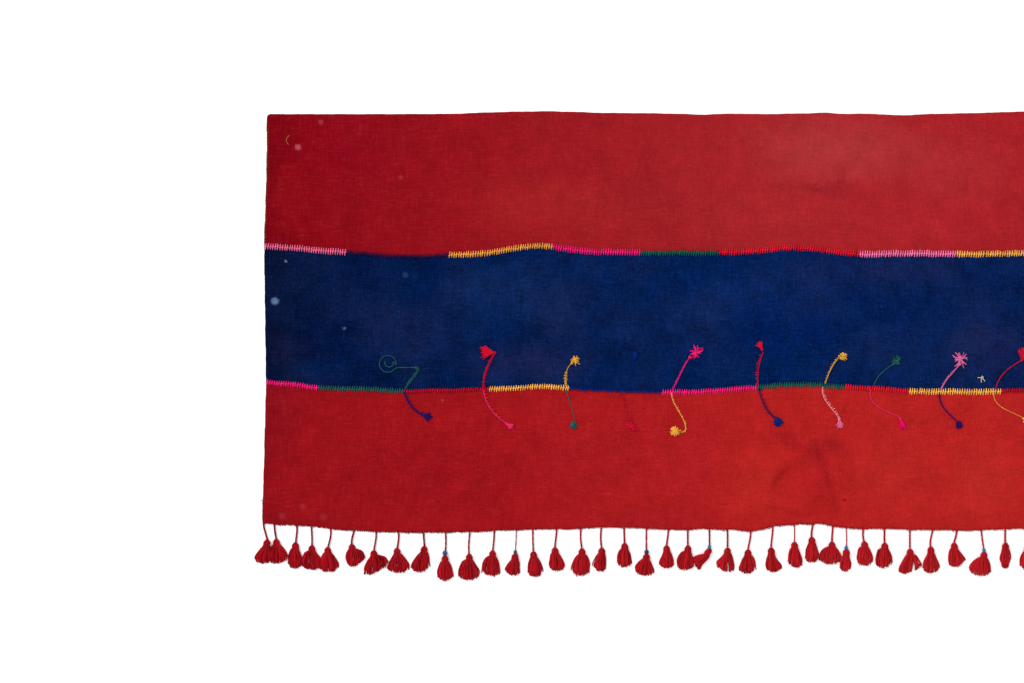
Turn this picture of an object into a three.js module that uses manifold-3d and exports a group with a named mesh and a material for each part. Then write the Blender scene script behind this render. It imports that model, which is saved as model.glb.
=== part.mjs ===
// A banded kilim runner lying flat: three narrow-loom panels joined edge to edge, a row of wool
// tassels whipped to one long side, and pairs of knotted yarn tails growing out of one seam.
// Millimetres, +X along the runner, +Y towards the plain long side, +Z up off the floor.
// The origin is the middle of the runner's underside.
import * as THREE from "three";
import { mergeVertices } from "three/addons/utils/BufferGeometryUtils.js";
import Module from "manifold-3d";

const LENGTH = 2600;
const CLOTH_THICK = 2;
const CLEARANCE = 0.3;

// Each selvedge stands up a little where the joining stitches pull it.
const SEAM_RIDGE_HEIGHT = 0.8;
const SEAM_RIDGE_WIDTH = 6;

// The corded edging that carries the tassels.
const EDGING_WIDTH = 4;
const EDGING_THICK = 2.4;

// Wavy edges: a level and the soft swells on it, each rise * exp(-((s - at) / reach)^2).
// s runs from the left end for the long edges, and is y for the two ends.
const TOP_EDGE = {
  level: 446,
  swells: [
    { at: 590, reach: 110, rise: 4.5 },
    { at: 1170, reach: 60, rise: 2.5 },
    { at: 1364, reach: 45, rise: -2.5 },
    { at: 1680, reach: 110, rise: 6.5 },
    { at: 2150, reach: 180, rise: -3 },
  ],
};
const UPPER_SEAM = {
  level: 149,
  swells: [
    { at: 0, reach: 110, rise: 12 },
    { at: 350, reach: 120, rise: -9 },
    { at: 585, reach: 75, rise: 14 },
    { at: 900, reach: 60, rise: 1.5 },
    { at: 1145, reach: 75, rise: 8 },
    { at: 1290, reach: 60, rise: -4 },
    { at: 1500, reach: 150, rise: -4 },
    { at: 2050, reach: 160, rise: 5 },
    { at: 2450, reach: 150, rise: -4 },
  ],
};
const LOWER_SEAM = {
  level: -144,
  swells: [
    { at: 0, reach: 85, rise: 16 },
    { at: 300, reach: 60, rise: -5 },
    { at: 600, reach: 60, rise: 5.5 },
    { at: 840, reach: 140, rise: -6.5 },
    { at: 1150, reach: 110, rise: 9.5 },
    { at: 1400, reach: 60, rise: -4 },
    { at: 1580, reach: 130, rise: -7 },
    { at: 1900, reach: 170, rise: 5 },
    { at: 2250, reach: 150, rise: -5 },
    { at: 2600, reach: 120, rise: 6 },
  ],
};
const BOTTOM_EDGE = {
  level: -446,
  swells: [
    { at: 0, reach: 95, rise: 11 },
    { at: 320, reach: 160, rise: -8.5 },
    { at: 1035, reach: 45, rise: -6.5 },
    { at: 1155, reach: 65, rise: 10.5 },
    { at: 1490, reach: 100, rise: -3.5 },
    { at: 1850, reach: 140, rise: 4 },
    { at: 2250, reach: 160, rise: -5 },
    { at: 2590, reach: 90, rise: 8 },
  ],
};
const LEFT_END = {
  level: 0,
  swells: [
    { at: 400, reach: 150, rise: 4 },
    { at: 170, reach: 60, rise: -2 },
    { at: -110, reach: 90, rise: 1.5 },
    { at: -450, reach: 170, rise: -8 },
  ],
};
const RIGHT_END = {
  level: 0,
  swells: [
    { at: 430, reach: 140, rise: -3 },
    { at: -60, reach: 120, rise: 3 },
    { at: -440, reach: 130, rise: 5 },
  ],
};
const END_FADE = 120;

// Places where the cloth buckles off the floor: half-lengths along and across, a turn in degrees.
const BUCKLES = [
  { s: 1150, y: -375, along: 95, across: 42, turn: 12, height: 4 },
  { s: 1235, y: -345, along: 55, across: 36, turn: 112, height: 3 },
  { s: 455, y: -345, along: 130, across: 45, turn: 38, height: 3 },
  { s: 1290, y: 300, along: 190, across: 55, turn: -8, height: 3.5 },
  { s: 760, y: 345, along: 150, across: 50, turn: 6, height: 2.5 },
  { s: 2050, y: 300, along: 200, across: 60, turn: 10, height: 3 },
  { s: 2120, y: -345, along: 150, across: 45, turn: -14, height: 3.5 },
];
const BUCKLE_FLOOR = 0.4;

// The panels' grid: columns along the runner, and rows across it between the two selvedges.
const PANEL_COLUMNS = 44;
const PANEL_ROWS = 6;
const COLUMN_PITCH = LENGTH / PANEL_COLUMNS;

// The cords, wound heads and parted skirts of the tassels.
const CORD_WIDE = 4.2;
const THIN_CORD_WIDE = 2.6;
const CORD_TALL = 3.2;
const CORD_END_IN_HEAD = 0.25;
const HEAD_WIDE = 12.5;
const HEAD_TALL = 9;
const HEAD_LONG = 13;
const LOCKS_PER_TASSEL = 3;
const LOCK_ROOT_WIDE = 3.2;
const LOCK_ROOT_PITCH = 3.6;
const LOCK_TALL = 7;
const LOCK_TIP_TALL = 3;
const LOCK_TIP_TOP_SHARE = 0.6;
const LOCK_START_IN_HEAD = 0.6;
const LOCK_PARTING = 1.2;
const OUTER_LOCK_SHORTER = 4;

// The tassels in order. root is where the cord leaves the edging, from the left end. cord is how
// far the head hangs below the runner's edge, and drift how far to the right of its root. long is
// from the head's crown to the skirt's tip, and left and right are how far the skirt spreads.
const TASSELS = [
  { root: 2.5, cord: 34, drift: 8, long: 51, left: 28, right: 6 },
  { root: 25, cord: 32, drift: 4, long: 52, left: 13, right: 22 },
  { root: 70.6, cord: 35, drift: -3, long: 54, left: 13, right: 14 },
  { root: 100.2, cord: 38, drift: 1, long: 55, left: 18, right: 19 },
  { root: 140, cord: 38, drift: -6, long: 55, left: 14, right: 26 },
  { root: 191, cord: 29, drift: -6, long: 45, left: 12, right: 27 },
  { root: 238, cord: 40, drift: -5, long: 54, left: 20, right: 31 },
  { root: 286, cord: 33, drift: -3, long: 52, left: 15, right: 26 },
  { root: 340, cord: 29, drift: 2, long: 54, left: 25, right: 10 },
  { root: 387, cord: 50, drift: -1, long: 54, left: 15, right: 21 },
  { root: 440, cord: 49, drift: -2, long: 56, left: 20, right: 22 },
  { root: 491.5, cord: 44, drift: -1, long: 53, left: 24, right: 16 },
  { root: 539, cord: 52, drift: -2, long: 45, left: 21, right: 10, thin: true },
  { root: 575, cord: 48, drift: 1, long: 55, left: 11, right: 20 },
  { root: 626, cord: 40, drift: -4, long: 50, left: 9, right: 24 },
  { root: 678.5, cord: 42, drift: 2, long: 59, left: 22, right: 17 },
  { root: 722, cord: 41, drift: 1, long: 53, left: 17, right: 10 },
  { root: 771, cord: 31, drift: 1, long: 53, left: 15, right: 16 },
  { root: 819, cord: 56, drift: 0, long: 46, left: 24, right: 17 },
  { root: 866, cord: 36, drift: -4, long: 47, left: 14, right: 18 },
  { root: 908, cord: 36, drift: 0, long: 52, left: 25, right: 10 },
  { root: 954, cord: 44, drift: -1, long: 44, left: 32, right: -9 },
  { root: 993, cord: 38, drift: 0, long: 52, left: 20, right: 14 },
  { root: 1043, cord: 39, drift: -4, long: 51, left: 18, right: 16 },
  { root: 1090.5, cord: 43, drift: -4, long: 50, left: 7, right: 25 },
  { root: 1136.5, cord: 38, drift: 0, long: 55, left: 11, right: 18, thin: true },
  { root: 1177, cord: 27, drift: -3, long: 54, left: 13, right: 17 },
  { root: 1219.5, cord: 32, drift: -2, long: 50, left: 23, right: 17 },
  { root: 1248, cord: 47, drift: 0, long: 47, left: 9, right: 12, thin: true },
  { root: 1286, cord: 27, drift: 1, long: 51, left: 14, right: 20 },
  { root: 1330.6, cord: 30, drift: -1, long: 55, left: 18, right: 18 },
  { root: 1385, cord: 42, drift: 0, long: 54, left: 20, right: 22 },
  { root: 1434.7, cord: 36, drift: -5, long: 57, left: 14, right: 22 },
  { root: 1485.4, cord: 27, drift: -6, long: 51, left: 10, right: 26 },
  { root: 1539, cord: 49, drift: 5, long: 50, left: 32, right: 16 },
  { root: 1590, cord: 29, drift: 0, long: 54, left: 11, right: 11 },
  { root: 1637, cord: 36, drift: 0, long: 52, left: 14, right: 14 },
];
// Further along, the tassels take their shapes from the ones above in turn.
const TASSEL_PITCH = 45.4;
const LATER_TASSELS = 21;
const LATER_TASSEL_START = 2;
const LATER_TASSEL_STRIDE = 7;
// The edging is worked in lengths, which end at these columns of the panels' grid.
const EDGING_END_COLUMNS = [7, 15, 22, 29, 38, PANEL_COLUMNS];

// The yarn tails lie on the cloth in pairs, one up over the middle panel and one down.
const TAIL_START = 9;
const TAIL_WIDE = 3.6;
const THREAD_WIDE = 2;
const TAIL_TALL = 3;
const TAIL_STEPS = 4;
const THREAD_STEPS = 16;
const TAIL_HANDLE = 0.38;
const TUFT_TALL = 6;

// Heads and tufts are knobs: narrower at both ends and at the top, and lower at their sides.
const KNOB_END_SHARE = 0.55;
const KNOB_TOP_SHARE = 0.8;
const KNOB_SHOULDER_SHARE = 0.6;

// at is the pair's place from the left end. Each tail leaves the seam in the direction leave, in
// degrees, and ends dx and dy from it in the direction arrive. Its tuft is long and wide, and
// lies in the direction points. A curl carries the tail on round a circle before the tuft.
const TAIL_PAIRS = [
  {
    at: 300,
    up: {
      leave: 65, dx: 29, dy: 46, arrive: 75, thread: true,
      curl: { dx: -42, dy: 60, radius: 17, from: -45, sweep: -290 },
    },
    down: { leave: -70, dx: 38, dy: -53, arrive: -15, long: 15, wide: 13, points: -37 },
  },
  {
    at: 469,
    up: { leave: 92, dx: 20, dy: 74, arrive: 62, long: 27, wide: 26, points: 165 },
    down: { leave: -85, dx: 49, dy: -78, arrive: -35, long: 15, wide: 12, points: -35 },
  },
  {
    at: 646,
    up: { leave: 95, dx: 13, dy: 52, arrive: 40, long: 20, wide: 19, points: 40 },
    down: { leave: -78, dx: 18, dy: -75, arrive: -88, long: 17, wide: 15, points: -110 },
  },
  {
    at: 774,
    up: { leave: 70, dx: 19, dy: 76, arrive: 92, long: 18, wide: 13, points: 70 },
    down: { leave: -97, dx: 10, dy: -68, arrive: -62, long: 22, wide: 17, points: -68 },
  },
  {
    at: 875,
    up: { leave: 62, dx: 37, dy: 73, arrive: 58, long: 29, wide: 19, points: 55 },
    down: {
      leave: -85, dx: 27, dy: -72, arrive: -75, long: 22, wide: 16, points: 172,
      curl: { dx: 20, dy: -80, radius: 8, from: 0, sweep: -110 },
    },
  },
  {
    at: 1059,
    up: { leave: 95, dx: 9, dy: 72, arrive: 68, long: 22, wide: 13, points: 103 },
    down: { leave: -75, dx: 37, dy: -72, arrive: -38, long: 20, wide: 18, points: -49 },
  },
  {
    at: 1203,
    up: { leave: 72, dx: 30, dy: 61, arrive: 48, long: 18, wide: 15, points: 5 },
    down: { leave: -98, dx: 29, dy: -74, arrive: -60, long: 20, wide: 16, points: -68 },
  },
  {
    at: 1307,
    up: { leave: 76, dx: 38, dy: 49, arrive: 32, long: 22, wide: 18, points: 45 },
    down: { leave: -102, dx: 52, dy: -63, arrive: -24, long: 22, wide: 16, points: -42 },
  },
  {
    at: 1452,
    up: { leave: 68, dx: 42, dy: 61, arrive: 46, long: 30, wide: 28, points: 88 },
    down: { leave: -98, dx: 34, dy: -64, arrive: -42, long: 17, wide: 13, points: -62 },
  },
  {
    at: 1568,
    up: { leave: 76, dx: 57, dy: 66, arrive: 28, long: 26, wide: 28, points: 60 },
    down: { leave: -95, dx: 60, dy: -57, arrive: -27, long: 20, wide: 16, points: -30 },
  },
];
// Further along, each pair lies as an earlier one does.
const LATER_TAIL_PAIRS = [
  { at: 1712, like: 2 },
  { at: 1855, like: 6 },
  { at: 1990, like: 1 },
  { at: 2130, like: 7 },
  { at: 2290, like: 5 },
];

const RED_WOOL = new THREE.MeshStandardMaterial({ color: 0xa31e22, roughness: 0.95, metalness: 0 });
const BLUE_WOOL = new THREE.MeshStandardMaterial({ color: 0x10204c, roughness: 0.95, metalness: 0 });
const TASSEL_WOOL = new THREE.MeshStandardMaterial({ color: 0xb0161f, roughness: 0.9, metalness: 0 });
const yarn = (color) => new THREE.MeshStandardMaterial({ color, roughness: 0.85, metalness: 0 });
const GREEN = yarn(0x1f5f4b);
const NAVY = yarn(0x141c5a);
const SCARLET = yarn(0xd01a36);
const PINK = yarn(0xd9477c);
const GOLD = yarn(0xdd9f3a);
const MAGENTA = yarn(0xdc2a86);
const ROSE = yarn(0xdc7aa8);
const TAIL_COLOURS = [
  { up: GREEN, down: NAVY },
  { up: SCARLET, down: PINK },
  { up: GOLD, down: GREEN },
  { up: NAVY, down: SCARLET },
  { up: MAGENTA, down: GOLD },
  { up: SCARLET, down: NAVY },
  { up: GOLD, down: ROSE },
  { up: GREEN, down: PINK },
  { up: ROSE, down: NAVY },
  { up: SCARLET, down: GOLD },
];

const wasm = await Module();
wasm.setup();

const runner = new THREE.Group();

function addPiece(name, geometry, material) {
  const mesh = new THREE.Mesh(geometry, material);
  mesh.name = name;
  runner.add(mesh);
}

// The height of a wavy edge at s.
function along({ level, swells }, s) {
  const swell = ({ at, reach, rise }) => rise * Math.exp(-(((s - at) / reach) ** 2));
  return swells.reduce((sum, each) => sum + swell(each), level);
}

// The same edge as the grid's straight steps draw it.
function onGrid(edge, s) {
  const column = Math.min(Math.floor(s / COLUMN_PITCH), PANEL_COLUMNS - 1);
  const from = column * COLUMN_PITCH;
  return THREE.MathUtils.lerp(along(edge, from), along(edge, from + COLUMN_PITCH), (s - from) / COLUMN_PITCH);
}

// X at the distance s from the left end and at y: the ends waver, and the wavering fades inwards.
function acrossEnds(s, y) {
  const fade = (distance) => Math.max(0, 1 - distance / END_FADE);
  return s - LENGTH / 2 + along(LEFT_END, y) * fade(s) + along(RIGHT_END, y) * fade(LENGTH - s);
}

// How far the cloth's underside stands off the floor.
function buckle(s, y) {
  const sum = BUCKLES.reduce((total, fold) => {
    const turn = THREE.MathUtils.degToRad(fold.turn);
    const a = (s - fold.s) * Math.cos(turn) + (y - fold.y) * Math.sin(turn);
    const c = (y - fold.y) * Math.cos(turn) - (s - fold.s) * Math.sin(turn);
    return total + fold.height * Math.exp(-((a / fold.along) ** 2) - (c / fold.across) ** 2);
  }, 0);
  return Math.max(0, sum - BUCKLE_FLOOR);
}

// A block whose grid is moved point by point: place gets the shares along, across and up.
function shaped(columns, rows, place) {
  const geometry = new THREE.BoxGeometry(1, 1, 1, columns, rows, 1);
  const at = geometry.getAttribute("position");
  const point = new THREE.Vector3();
  for (let i = 0; i < at.count; i++) {
    point.fromBufferAttribute(at, i).addScalar(0.5);
    at.setXYZ(i, ...place(point.x, point.y, point.z));
  }
  geometry.deleteAttribute("normal");
  geometry.deleteAttribute("uv");
  return mergeVertices(geometry, 1e-3);
}

// One woven panel between two wavy edges, with its selvedge ridges at the seams.
function panel(lowEdge, highEdge, { lowInset, highInset, lowRidge, highRidge }) {
  const rowAt = (share, width) => {
    const row = Math.round(share * PANEL_ROWS);
    if (row <= 1) return (row * SEAM_RIDGE_WIDTH) / width;
    if (row >= PANEL_ROWS - 1) return 1 - ((PANEL_ROWS - row) * SEAM_RIDGE_WIDTH) / width;
    return (row - 1) / (PANEL_ROWS - 2);
  };
  return shaped(PANEL_COLUMNS, PANEL_ROWS, (u, v, w) => {
    const s = u * LENGTH;
    const low = along(lowEdge, s) + lowInset;
    const high = along(highEdge, s) - highInset;
    const y = THREE.MathUtils.lerp(low, high, rowAt(v, high - low));
    const isEdgeRow = (v === 0 && lowRidge) || (v === 1 && highRidge);
    const thick = CLOTH_THICK + (isEdgeRow ? SEAM_RIDGE_HEIGHT : 0);
    const isRim = u === 0 || u === 1 || v === 0 || v === 1;
    const lift = isRim ? 0 : buckle(s, y);
    return [acrossEnds(s, y), y, lift + (w > 0 ? thick : 0)];
  });
}

// A closed solid from a geometry, its points on a fine grid so that flat undersides stay flat.
function solid(geometry) {
  const plain = geometry.clone();
  for (const name of Object.keys(plain.attributes)) {
    if (name !== "position") plain.deleteAttribute(name);
  }
  const merged = mergeVertices(plain, 1e-3);
  const vertProperties = merged.getAttribute("position").array.map((value) => Math.round(value * 1e3) / 1e3);
  const triVerts = new Uint32Array(merged.index.array);
  return new wasm.Manifold(new wasm.Mesh({ numProp: 3, vertProperties, triVerts }));
}

function fused(geometries) {
  const mesh = geometries.map(solid).reduce((sum, next) => sum.add(next)).getMesh();
  return new THREE.BufferGeometry()
    .setAttribute("position", new THREE.BufferAttribute(mesh.vertProperties.slice(), 3))
    .setIndex(new THREE.BufferAttribute(mesh.triVerts.slice(), 1));
}

// A four-sided cord along a route, its underside flat at base.
function cord(route, { wide, tall, base, steps }) {
  const section = new THREE.Shape();
  section.moveTo(-tall / 2, -wide / 2);
  section.lineTo(tall / 2, -wide / 2);
  section.lineTo(tall / 2, wide / 2);
  section.lineTo(-tall / 2, wide / 2);
  const level = route.map(({ x, y }) => new THREE.Vector3(x, y, base + tall / 2));
  const extrudePath = new THREE.CatmullRomCurve3(level, false, "centripetal");
  return new THREE.ExtrudeGeometry(section, { steps, extrudePath });
}

// A block between two points, shaped in the frame of the line that joins them: place gets the
// shares along, across and up, and gives the share along, the offset across and the height.
function laid(start, end, columns, rows, place) {
  const axis = end.clone().sub(start);
  const side = new THREE.Vector2(-axis.y, axis.x).normalize();
  return shaped(columns, rows, (u, v, w) => {
    const [share, offset, height] = place(u, v, w);
    return [start.x + axis.x * share + side.x * offset, start.y + axis.y * share + side.y * offset, height];
  });
}

// A lock of yarn lying on the floor: it widens and sinks towards its tip, and its top is sloped.
function lock(start, tip, tipWide) {
  return laid(start, tip, 1, 1, (u, v, w) => {
    const wide = THREE.MathUtils.lerp(LOCK_ROOT_WIDE, tipWide, u);
    const sloped = w > 0 && u > 0 ? LOCK_TIP_TOP_SHARE : 1;
    return [u, (v - 0.5) * wide * sloped, w * THREE.MathUtils.lerp(LOCK_TALL, LOCK_TIP_TALL, u)];
  });
}

// A rounded knob from start to end, flat underneath at base, with a ridge along its top.
function knob(start, end, { wide, tall, base }) {
  return laid(start, end, 2, 2, (u, v, w) => {
    const fullness = u === 0.5 ? 1 : KNOB_END_SHARE;
    const taper = w > 0 ? KNOB_TOP_SHARE : 1;
    const crest = v === 0.5 ? 1 : KNOB_SHOULDER_SHARE;
    return [u, (v - 0.5) * wide * fullness * taper, base + w * tall * fullness * crest];
  });
}

// One length of the corded edging, between two distances from the left end.
function edging(from, to) {
  const columns = Math.round((to - from) / COLUMN_PITCH);
  return shaped(columns, 1, (u, v, w) => {
    const s = THREE.MathUtils.lerp(from, to, u);
    const x = acrossEnds(s, along(BOTTOM_EDGE, s));
    const parting = u === 1 && to < LENGTH ? CLEARANCE : 0;
    return [x - parting, along(BOTTOM_EDGE, s) + v * EDGING_WIDTH, w * EDGING_THICK];
  });
}

// One tassel: a cord, a wound head and a skirt of parted locks.
function tassel({ root, cord: drop, drift, long, left, right, thin = false }) {
  const edge = onGrid(BOTTOM_EDGE, root);
  const x = acrossEnds(root, edge);
  const crown = new THREE.Vector2(x + drift, edge - drop);
  const lean = (right - left) / 2;
  const down = new THREE.Vector2(lean, -long).normalize();
  const headEnd = crown.clone().addScaledVector(down, HEAD_LONG);
  const cordEnd = crown.clone().addScaledVector(down, HEAD_LONG * CORD_END_IN_HEAD);
  const wide = thin ? THIN_CORD_WIDE : CORD_WIDE;
  const spread = (left + right) / LOCKS_PER_TASSEL;
  const locks = Array.from({ length: LOCKS_PER_TASSEL }, (_, i) => {
    const place = i - (LOCKS_PER_TASSEL - 1) / 2;
    const start = crown.clone().addScaledVector(down, HEAD_LONG * LOCK_START_IN_HEAD);
    start.x += place * LOCK_ROOT_PITCH;
    const tip = new THREE.Vector2(crown.x + lean + place * spread, crown.y - long);
    tip.y += Math.abs(place) * OUTER_LOCK_SHORTER;
    return lock(start, tip, spread - LOCK_PARTING);
  });
  const cordStart = new THREE.Vector2(x, edge + EDGING_WIDTH / 2);
  return [
    cord([cordStart, cordEnd], { wide, tall: CORD_TALL, base: 0, steps: 1 }),
    knob(crown, headEnd, { wide: HEAD_WIDE, tall: HEAD_TALL, base: 0 }),
    ...locks,
  ];
}

function allTassels() {
  const later = Array.from({ length: LATER_TASSELS }, (_, i) => {
    const like = TASSELS[(LATER_TASSEL_START + i * LATER_TASSEL_STRIDE) % TASSELS.length];
    return { ...like, root: TASSELS.at(-1).root + (i + 1) * TASSEL_PITCH + like.drift / 2 };
  });
  return [...TASSELS, ...later];
}

function addTasselRows() {
  EDGING_END_COLUMNS.forEach((column, i) => {
    const from = (EDGING_END_COLUMNS[i - 1] ?? 0) * COLUMN_PITCH;
    const to = column * COLUMN_PITCH;
    const mine = allTassels().filter(({ root }) => root > from && root < to);
    addPiece(`tassel_row_${i + 1}`, fused([edging(from, to), ...mine.flatMap(tassel)]), TASSEL_WOOL);
  });
}

// The points of a tail's route from its seam, in the frame of the runner.
function tailRoute(at, { leave, dx, dy, arrive, curl }) {
  const seam = new THREE.Vector2(acrossEnds(at, along(LOWER_SEAM, at)), along(LOWER_SEAM, at));
  const start = seam.clone().add(new THREE.Vector2(0, TAIL_START * Math.sign(dy)));
  const end = seam.clone().add(new THREE.Vector2(dx, dy));
  const handle = start.distanceTo(end) * TAIL_HANDLE;
  const outward = toward(leave).multiplyScalar(handle);
  const inward = toward(arrive).multiplyScalar(-handle);
  const bend = new THREE.CubicBezierCurve(start, start.clone().add(outward), end.clone().add(inward), end);
  const route = bend.getPoints(TAIL_STEPS);
  if (!curl) return route;
  const centre = seam.clone().add(new THREE.Vector2(curl.dx, curl.dy));
  const turns = Array.from({ length: TAIL_STEPS + 1 }, (_, i) => curl.from + (curl.sweep * i) / TAIL_STEPS);
  return [...route, ...turns.map((turn) => toward(turn).multiplyScalar(curl.radius).add(centre))];
}

function toward(degrees) {
  const turn = THREE.MathUtils.degToRad(degrees);
  return new THREE.Vector2(Math.cos(turn), Math.sin(turn));
}

// One tail, lying on the cloth from beside its seam to its tuft.
function tail(at, shape) {
  const base = CLOTH_THICK + CLEARANCE;
  const route = tailRoute(at, shape);
  const wide = shape.thread ? THREAD_WIDE : TAIL_WIDE;
  const steps = shape.curl ? THREAD_STEPS : TAIL_STEPS;
  const parts = [cord(route, { wide, tall: TAIL_TALL, base, steps })];
  if (shape.long) {
    const root = route.at(-1).clone().addScaledVector(toward(shape.points), -TAIL_WIDE / 2);
    const tip = route.at(-1).clone().addScaledVector(toward(shape.points), shape.long);
    parts.push(knob(root, tip, { wide: shape.wide, tall: TUFT_TALL, base }));
  }
  return fused(parts);
}

function addTails() {
  const later = LATER_TAIL_PAIRS.map(({ at, like }) => ({ ...TAIL_PAIRS[like], at }));
  [...TAIL_PAIRS, ...later].forEach((pair, i) => {
    const number = String(i + 1).padStart(2, "0");
    const colours = TAIL_COLOURS[i % TAIL_COLOURS.length];
    addPiece(`tail_up_${number}`, tail(pair.at, pair.up), colours.up);
    addPiece(`tail_down_${number}`, tail(pair.at, pair.down), colours.down);
  });
}

const seamInset = CLEARANCE / 2;
addPiece(
  "panel_red_plain",
  panel(UPPER_SEAM, TOP_EDGE, { lowInset: seamInset, highInset: 0, lowRidge: true, highRidge: false }),
  RED_WOOL,
);
addPiece(
  "panel_blue",
  panel(LOWER_SEAM, UPPER_SEAM, {
    lowInset: seamInset,
    highInset: seamInset,
    lowRidge: true,
    highRidge: true,
  }),
  BLUE_WOOL,
);
addPiece(
  "panel_red_tasselled",
  panel(BOTTOM_EDGE, LOWER_SEAM, {
    lowInset: EDGING_WIDTH + CLEARANCE,
    highInset: seamInset,
    lowRidge: false,
    highRidge: true,
  }),
  RED_WOOL,
);
addTasselRows();
addTails();

export default runner;
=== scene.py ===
"""A banded wool runner with tassels and yarn tails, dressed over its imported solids.

Sizes are in millimetres until a mesh is made. s runs along the runner from its left end, and y
across it, towards the plain long side. The camera looks straight down, as the photograph does.
"""

import logging
import math
from dataclasses import dataclass, replace
from enum import Enum
from typing import Sequence

import bpy
import numpy as np
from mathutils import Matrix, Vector


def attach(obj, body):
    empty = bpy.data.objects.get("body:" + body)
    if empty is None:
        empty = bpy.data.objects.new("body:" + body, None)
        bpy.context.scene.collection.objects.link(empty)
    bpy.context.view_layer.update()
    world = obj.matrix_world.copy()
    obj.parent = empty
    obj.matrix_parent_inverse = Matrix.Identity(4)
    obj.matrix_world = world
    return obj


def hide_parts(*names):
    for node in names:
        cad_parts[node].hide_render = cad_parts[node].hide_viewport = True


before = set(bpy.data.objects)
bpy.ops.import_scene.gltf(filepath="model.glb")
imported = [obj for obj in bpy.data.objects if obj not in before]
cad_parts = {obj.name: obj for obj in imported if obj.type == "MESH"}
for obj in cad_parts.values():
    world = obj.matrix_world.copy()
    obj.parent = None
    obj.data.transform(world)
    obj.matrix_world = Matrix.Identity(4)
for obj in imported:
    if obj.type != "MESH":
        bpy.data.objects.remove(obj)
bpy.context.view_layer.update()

Array = np.ndarray
Triple = tuple[float, float, float]
Colour = Triple
Rgb = tuple[int, int, int]
Draw = np.random.Generator
Object = bpy.types.Object
Material = bpy.types.Material

LOG = logging.getLogger("runner")
MM = 0.001
LENGTH = 2600.0
CLOTH_THICK = 2.0
BODY = "root"
ROOM_LIGHT = 1.4


def rows(kind: type, *values: tuple) -> tuple:
    """One of a kind for each row of its values."""
    return tuple(kind(*row) for row in values)


def smoothstep(x: Array) -> Array:
    """3x^2 - 2x^3 of x held between 0 and 1."""
    x = np.clip(x, 0, 1)
    return x * x * (3 - 2 * x)


def unit(v: Array) -> Array:
    """v divided by its length along the last axis."""
    return v / np.maximum(np.linalg.norm(v, axis=-1, keepdims=True), 1e-9)


def heading(degrees: Array | float) -> Array:
    """The unit vector at a turn from +X, in degrees."""
    turn = np.radians(degrees)
    return np.stack([np.cos(turn), np.sin(turn)], axis=-1)


def travelled(paths: Array) -> Array:
    """The distance along each path up to each of its points."""
    steps = np.linalg.norm(np.diff(paths, axis=-2), axis=-1)
    return np.concatenate([np.zeros((*steps.shape[:-1], 1)), np.cumsum(steps, axis=-1)], axis=-1)


def rounded(path: Array) -> Array:
    """A path whose inner points are three times replaced by a quarter, half and quarter mean."""
    for _ in range(3):
        path[1:-1] = (path[:-2] + 2 * path[1:-1] + path[2:]) / 4
    return path


# Lines and surfaces of the cloth


@dataclass(frozen=True)
class Swell:
    """One soft swell of an edge: rise * exp(-((s - at) / reach)^2)."""

    at: float
    reach: float
    rise: float


@dataclass(frozen=True)
class WavyEdge:
    """An edge of a band: a level and its swells, with the small nicks and unevenness of handwork."""

    level: float
    swells: tuple[Swell, ...]
    phase: float
    unevenness: float = 0.55
    nicks: tuple[Swell, ...] = ()

    def raised(self, s: Array, swells: tuple[Swell, ...]) -> Array:
        """The sum of some swells at s."""
        return sum(e.rise * np.exp(-(((s - e.at) / e.reach) ** 2)) for e in swells)

    def smooth(self, s: Array) -> Array:
        """The level plus the swells at s."""
        return self.level + self.raised(s, self.swells)

    def at(self, s: Array) -> Array:
        """The smooth edge and its nicks plus three sines of 74, 31 and 17 mm, the hand's unevenness."""
        hand = np.sin(s / 11.8 + self.phase) + 0.7 * np.sin(s / 4.93 + 2.1 * self.phase)
        hand = (hand + 0.5 * np.sin(s / 2.71 + 3.7 * self.phase)) / 1.6
        return self.smooth(s) + self.raised(s, self.nicks) + self.unevenness * hand


TOP_EDGE = WavyEdge(
    446,
    rows(
        Swell, (500, 120, 2.5), (600, 110, 4), (780, 110, 2), (1170, 60, 1.5), (1364, 45, -2.5),
        (1530, 90, 1.4), (1680, 110, 6.5), (2150, 180, -3),
    ),
    phase=0.4,
    unevenness=0.3,
    nicks=rows(
        Swell, (400, 40, -0.8), (612, 30, 0.8), (665, 30, 1), (935, 28, -1.4), (1010, 30, 1),
        (1203, 25, 1.8), (1300, 35, 1),
    ),
)
UPPER_SEAM = WavyEdge(
    149,
    rows(
        Swell, (0, 110, 12), (262, 45, -2.6), (350, 120, -9), (400, 28, 2.6), (585, 75, 14),
        (900, 60, 0.8), (1110, 50, 1.8), (1145, 75, 8), (1290, 60, -4), (1500, 150, -4),
        (2050, 160, 5), (2450, 150, -4),
    ),
    phase=1.3,
)
LOWER_SEAM = WavyEdge(
    -144,
    rows(
        Swell, (0, 85, 16), (20, 25, -2.4), (300, 60, -5), (400, 45, -2.6), (600, 60, 5.5),
        (840, 140, -6.5), (940, 45, -1.6), (1150, 110, 9.5), (1400, 60, -4), (1470, 60, -1.4),
        (1580, 130, -7), (1600, 40, 2.6), (1900, 170, 5), (2250, 150, -5), (2600, 120, 6),
    ),
    phase=2.2,
)
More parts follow.
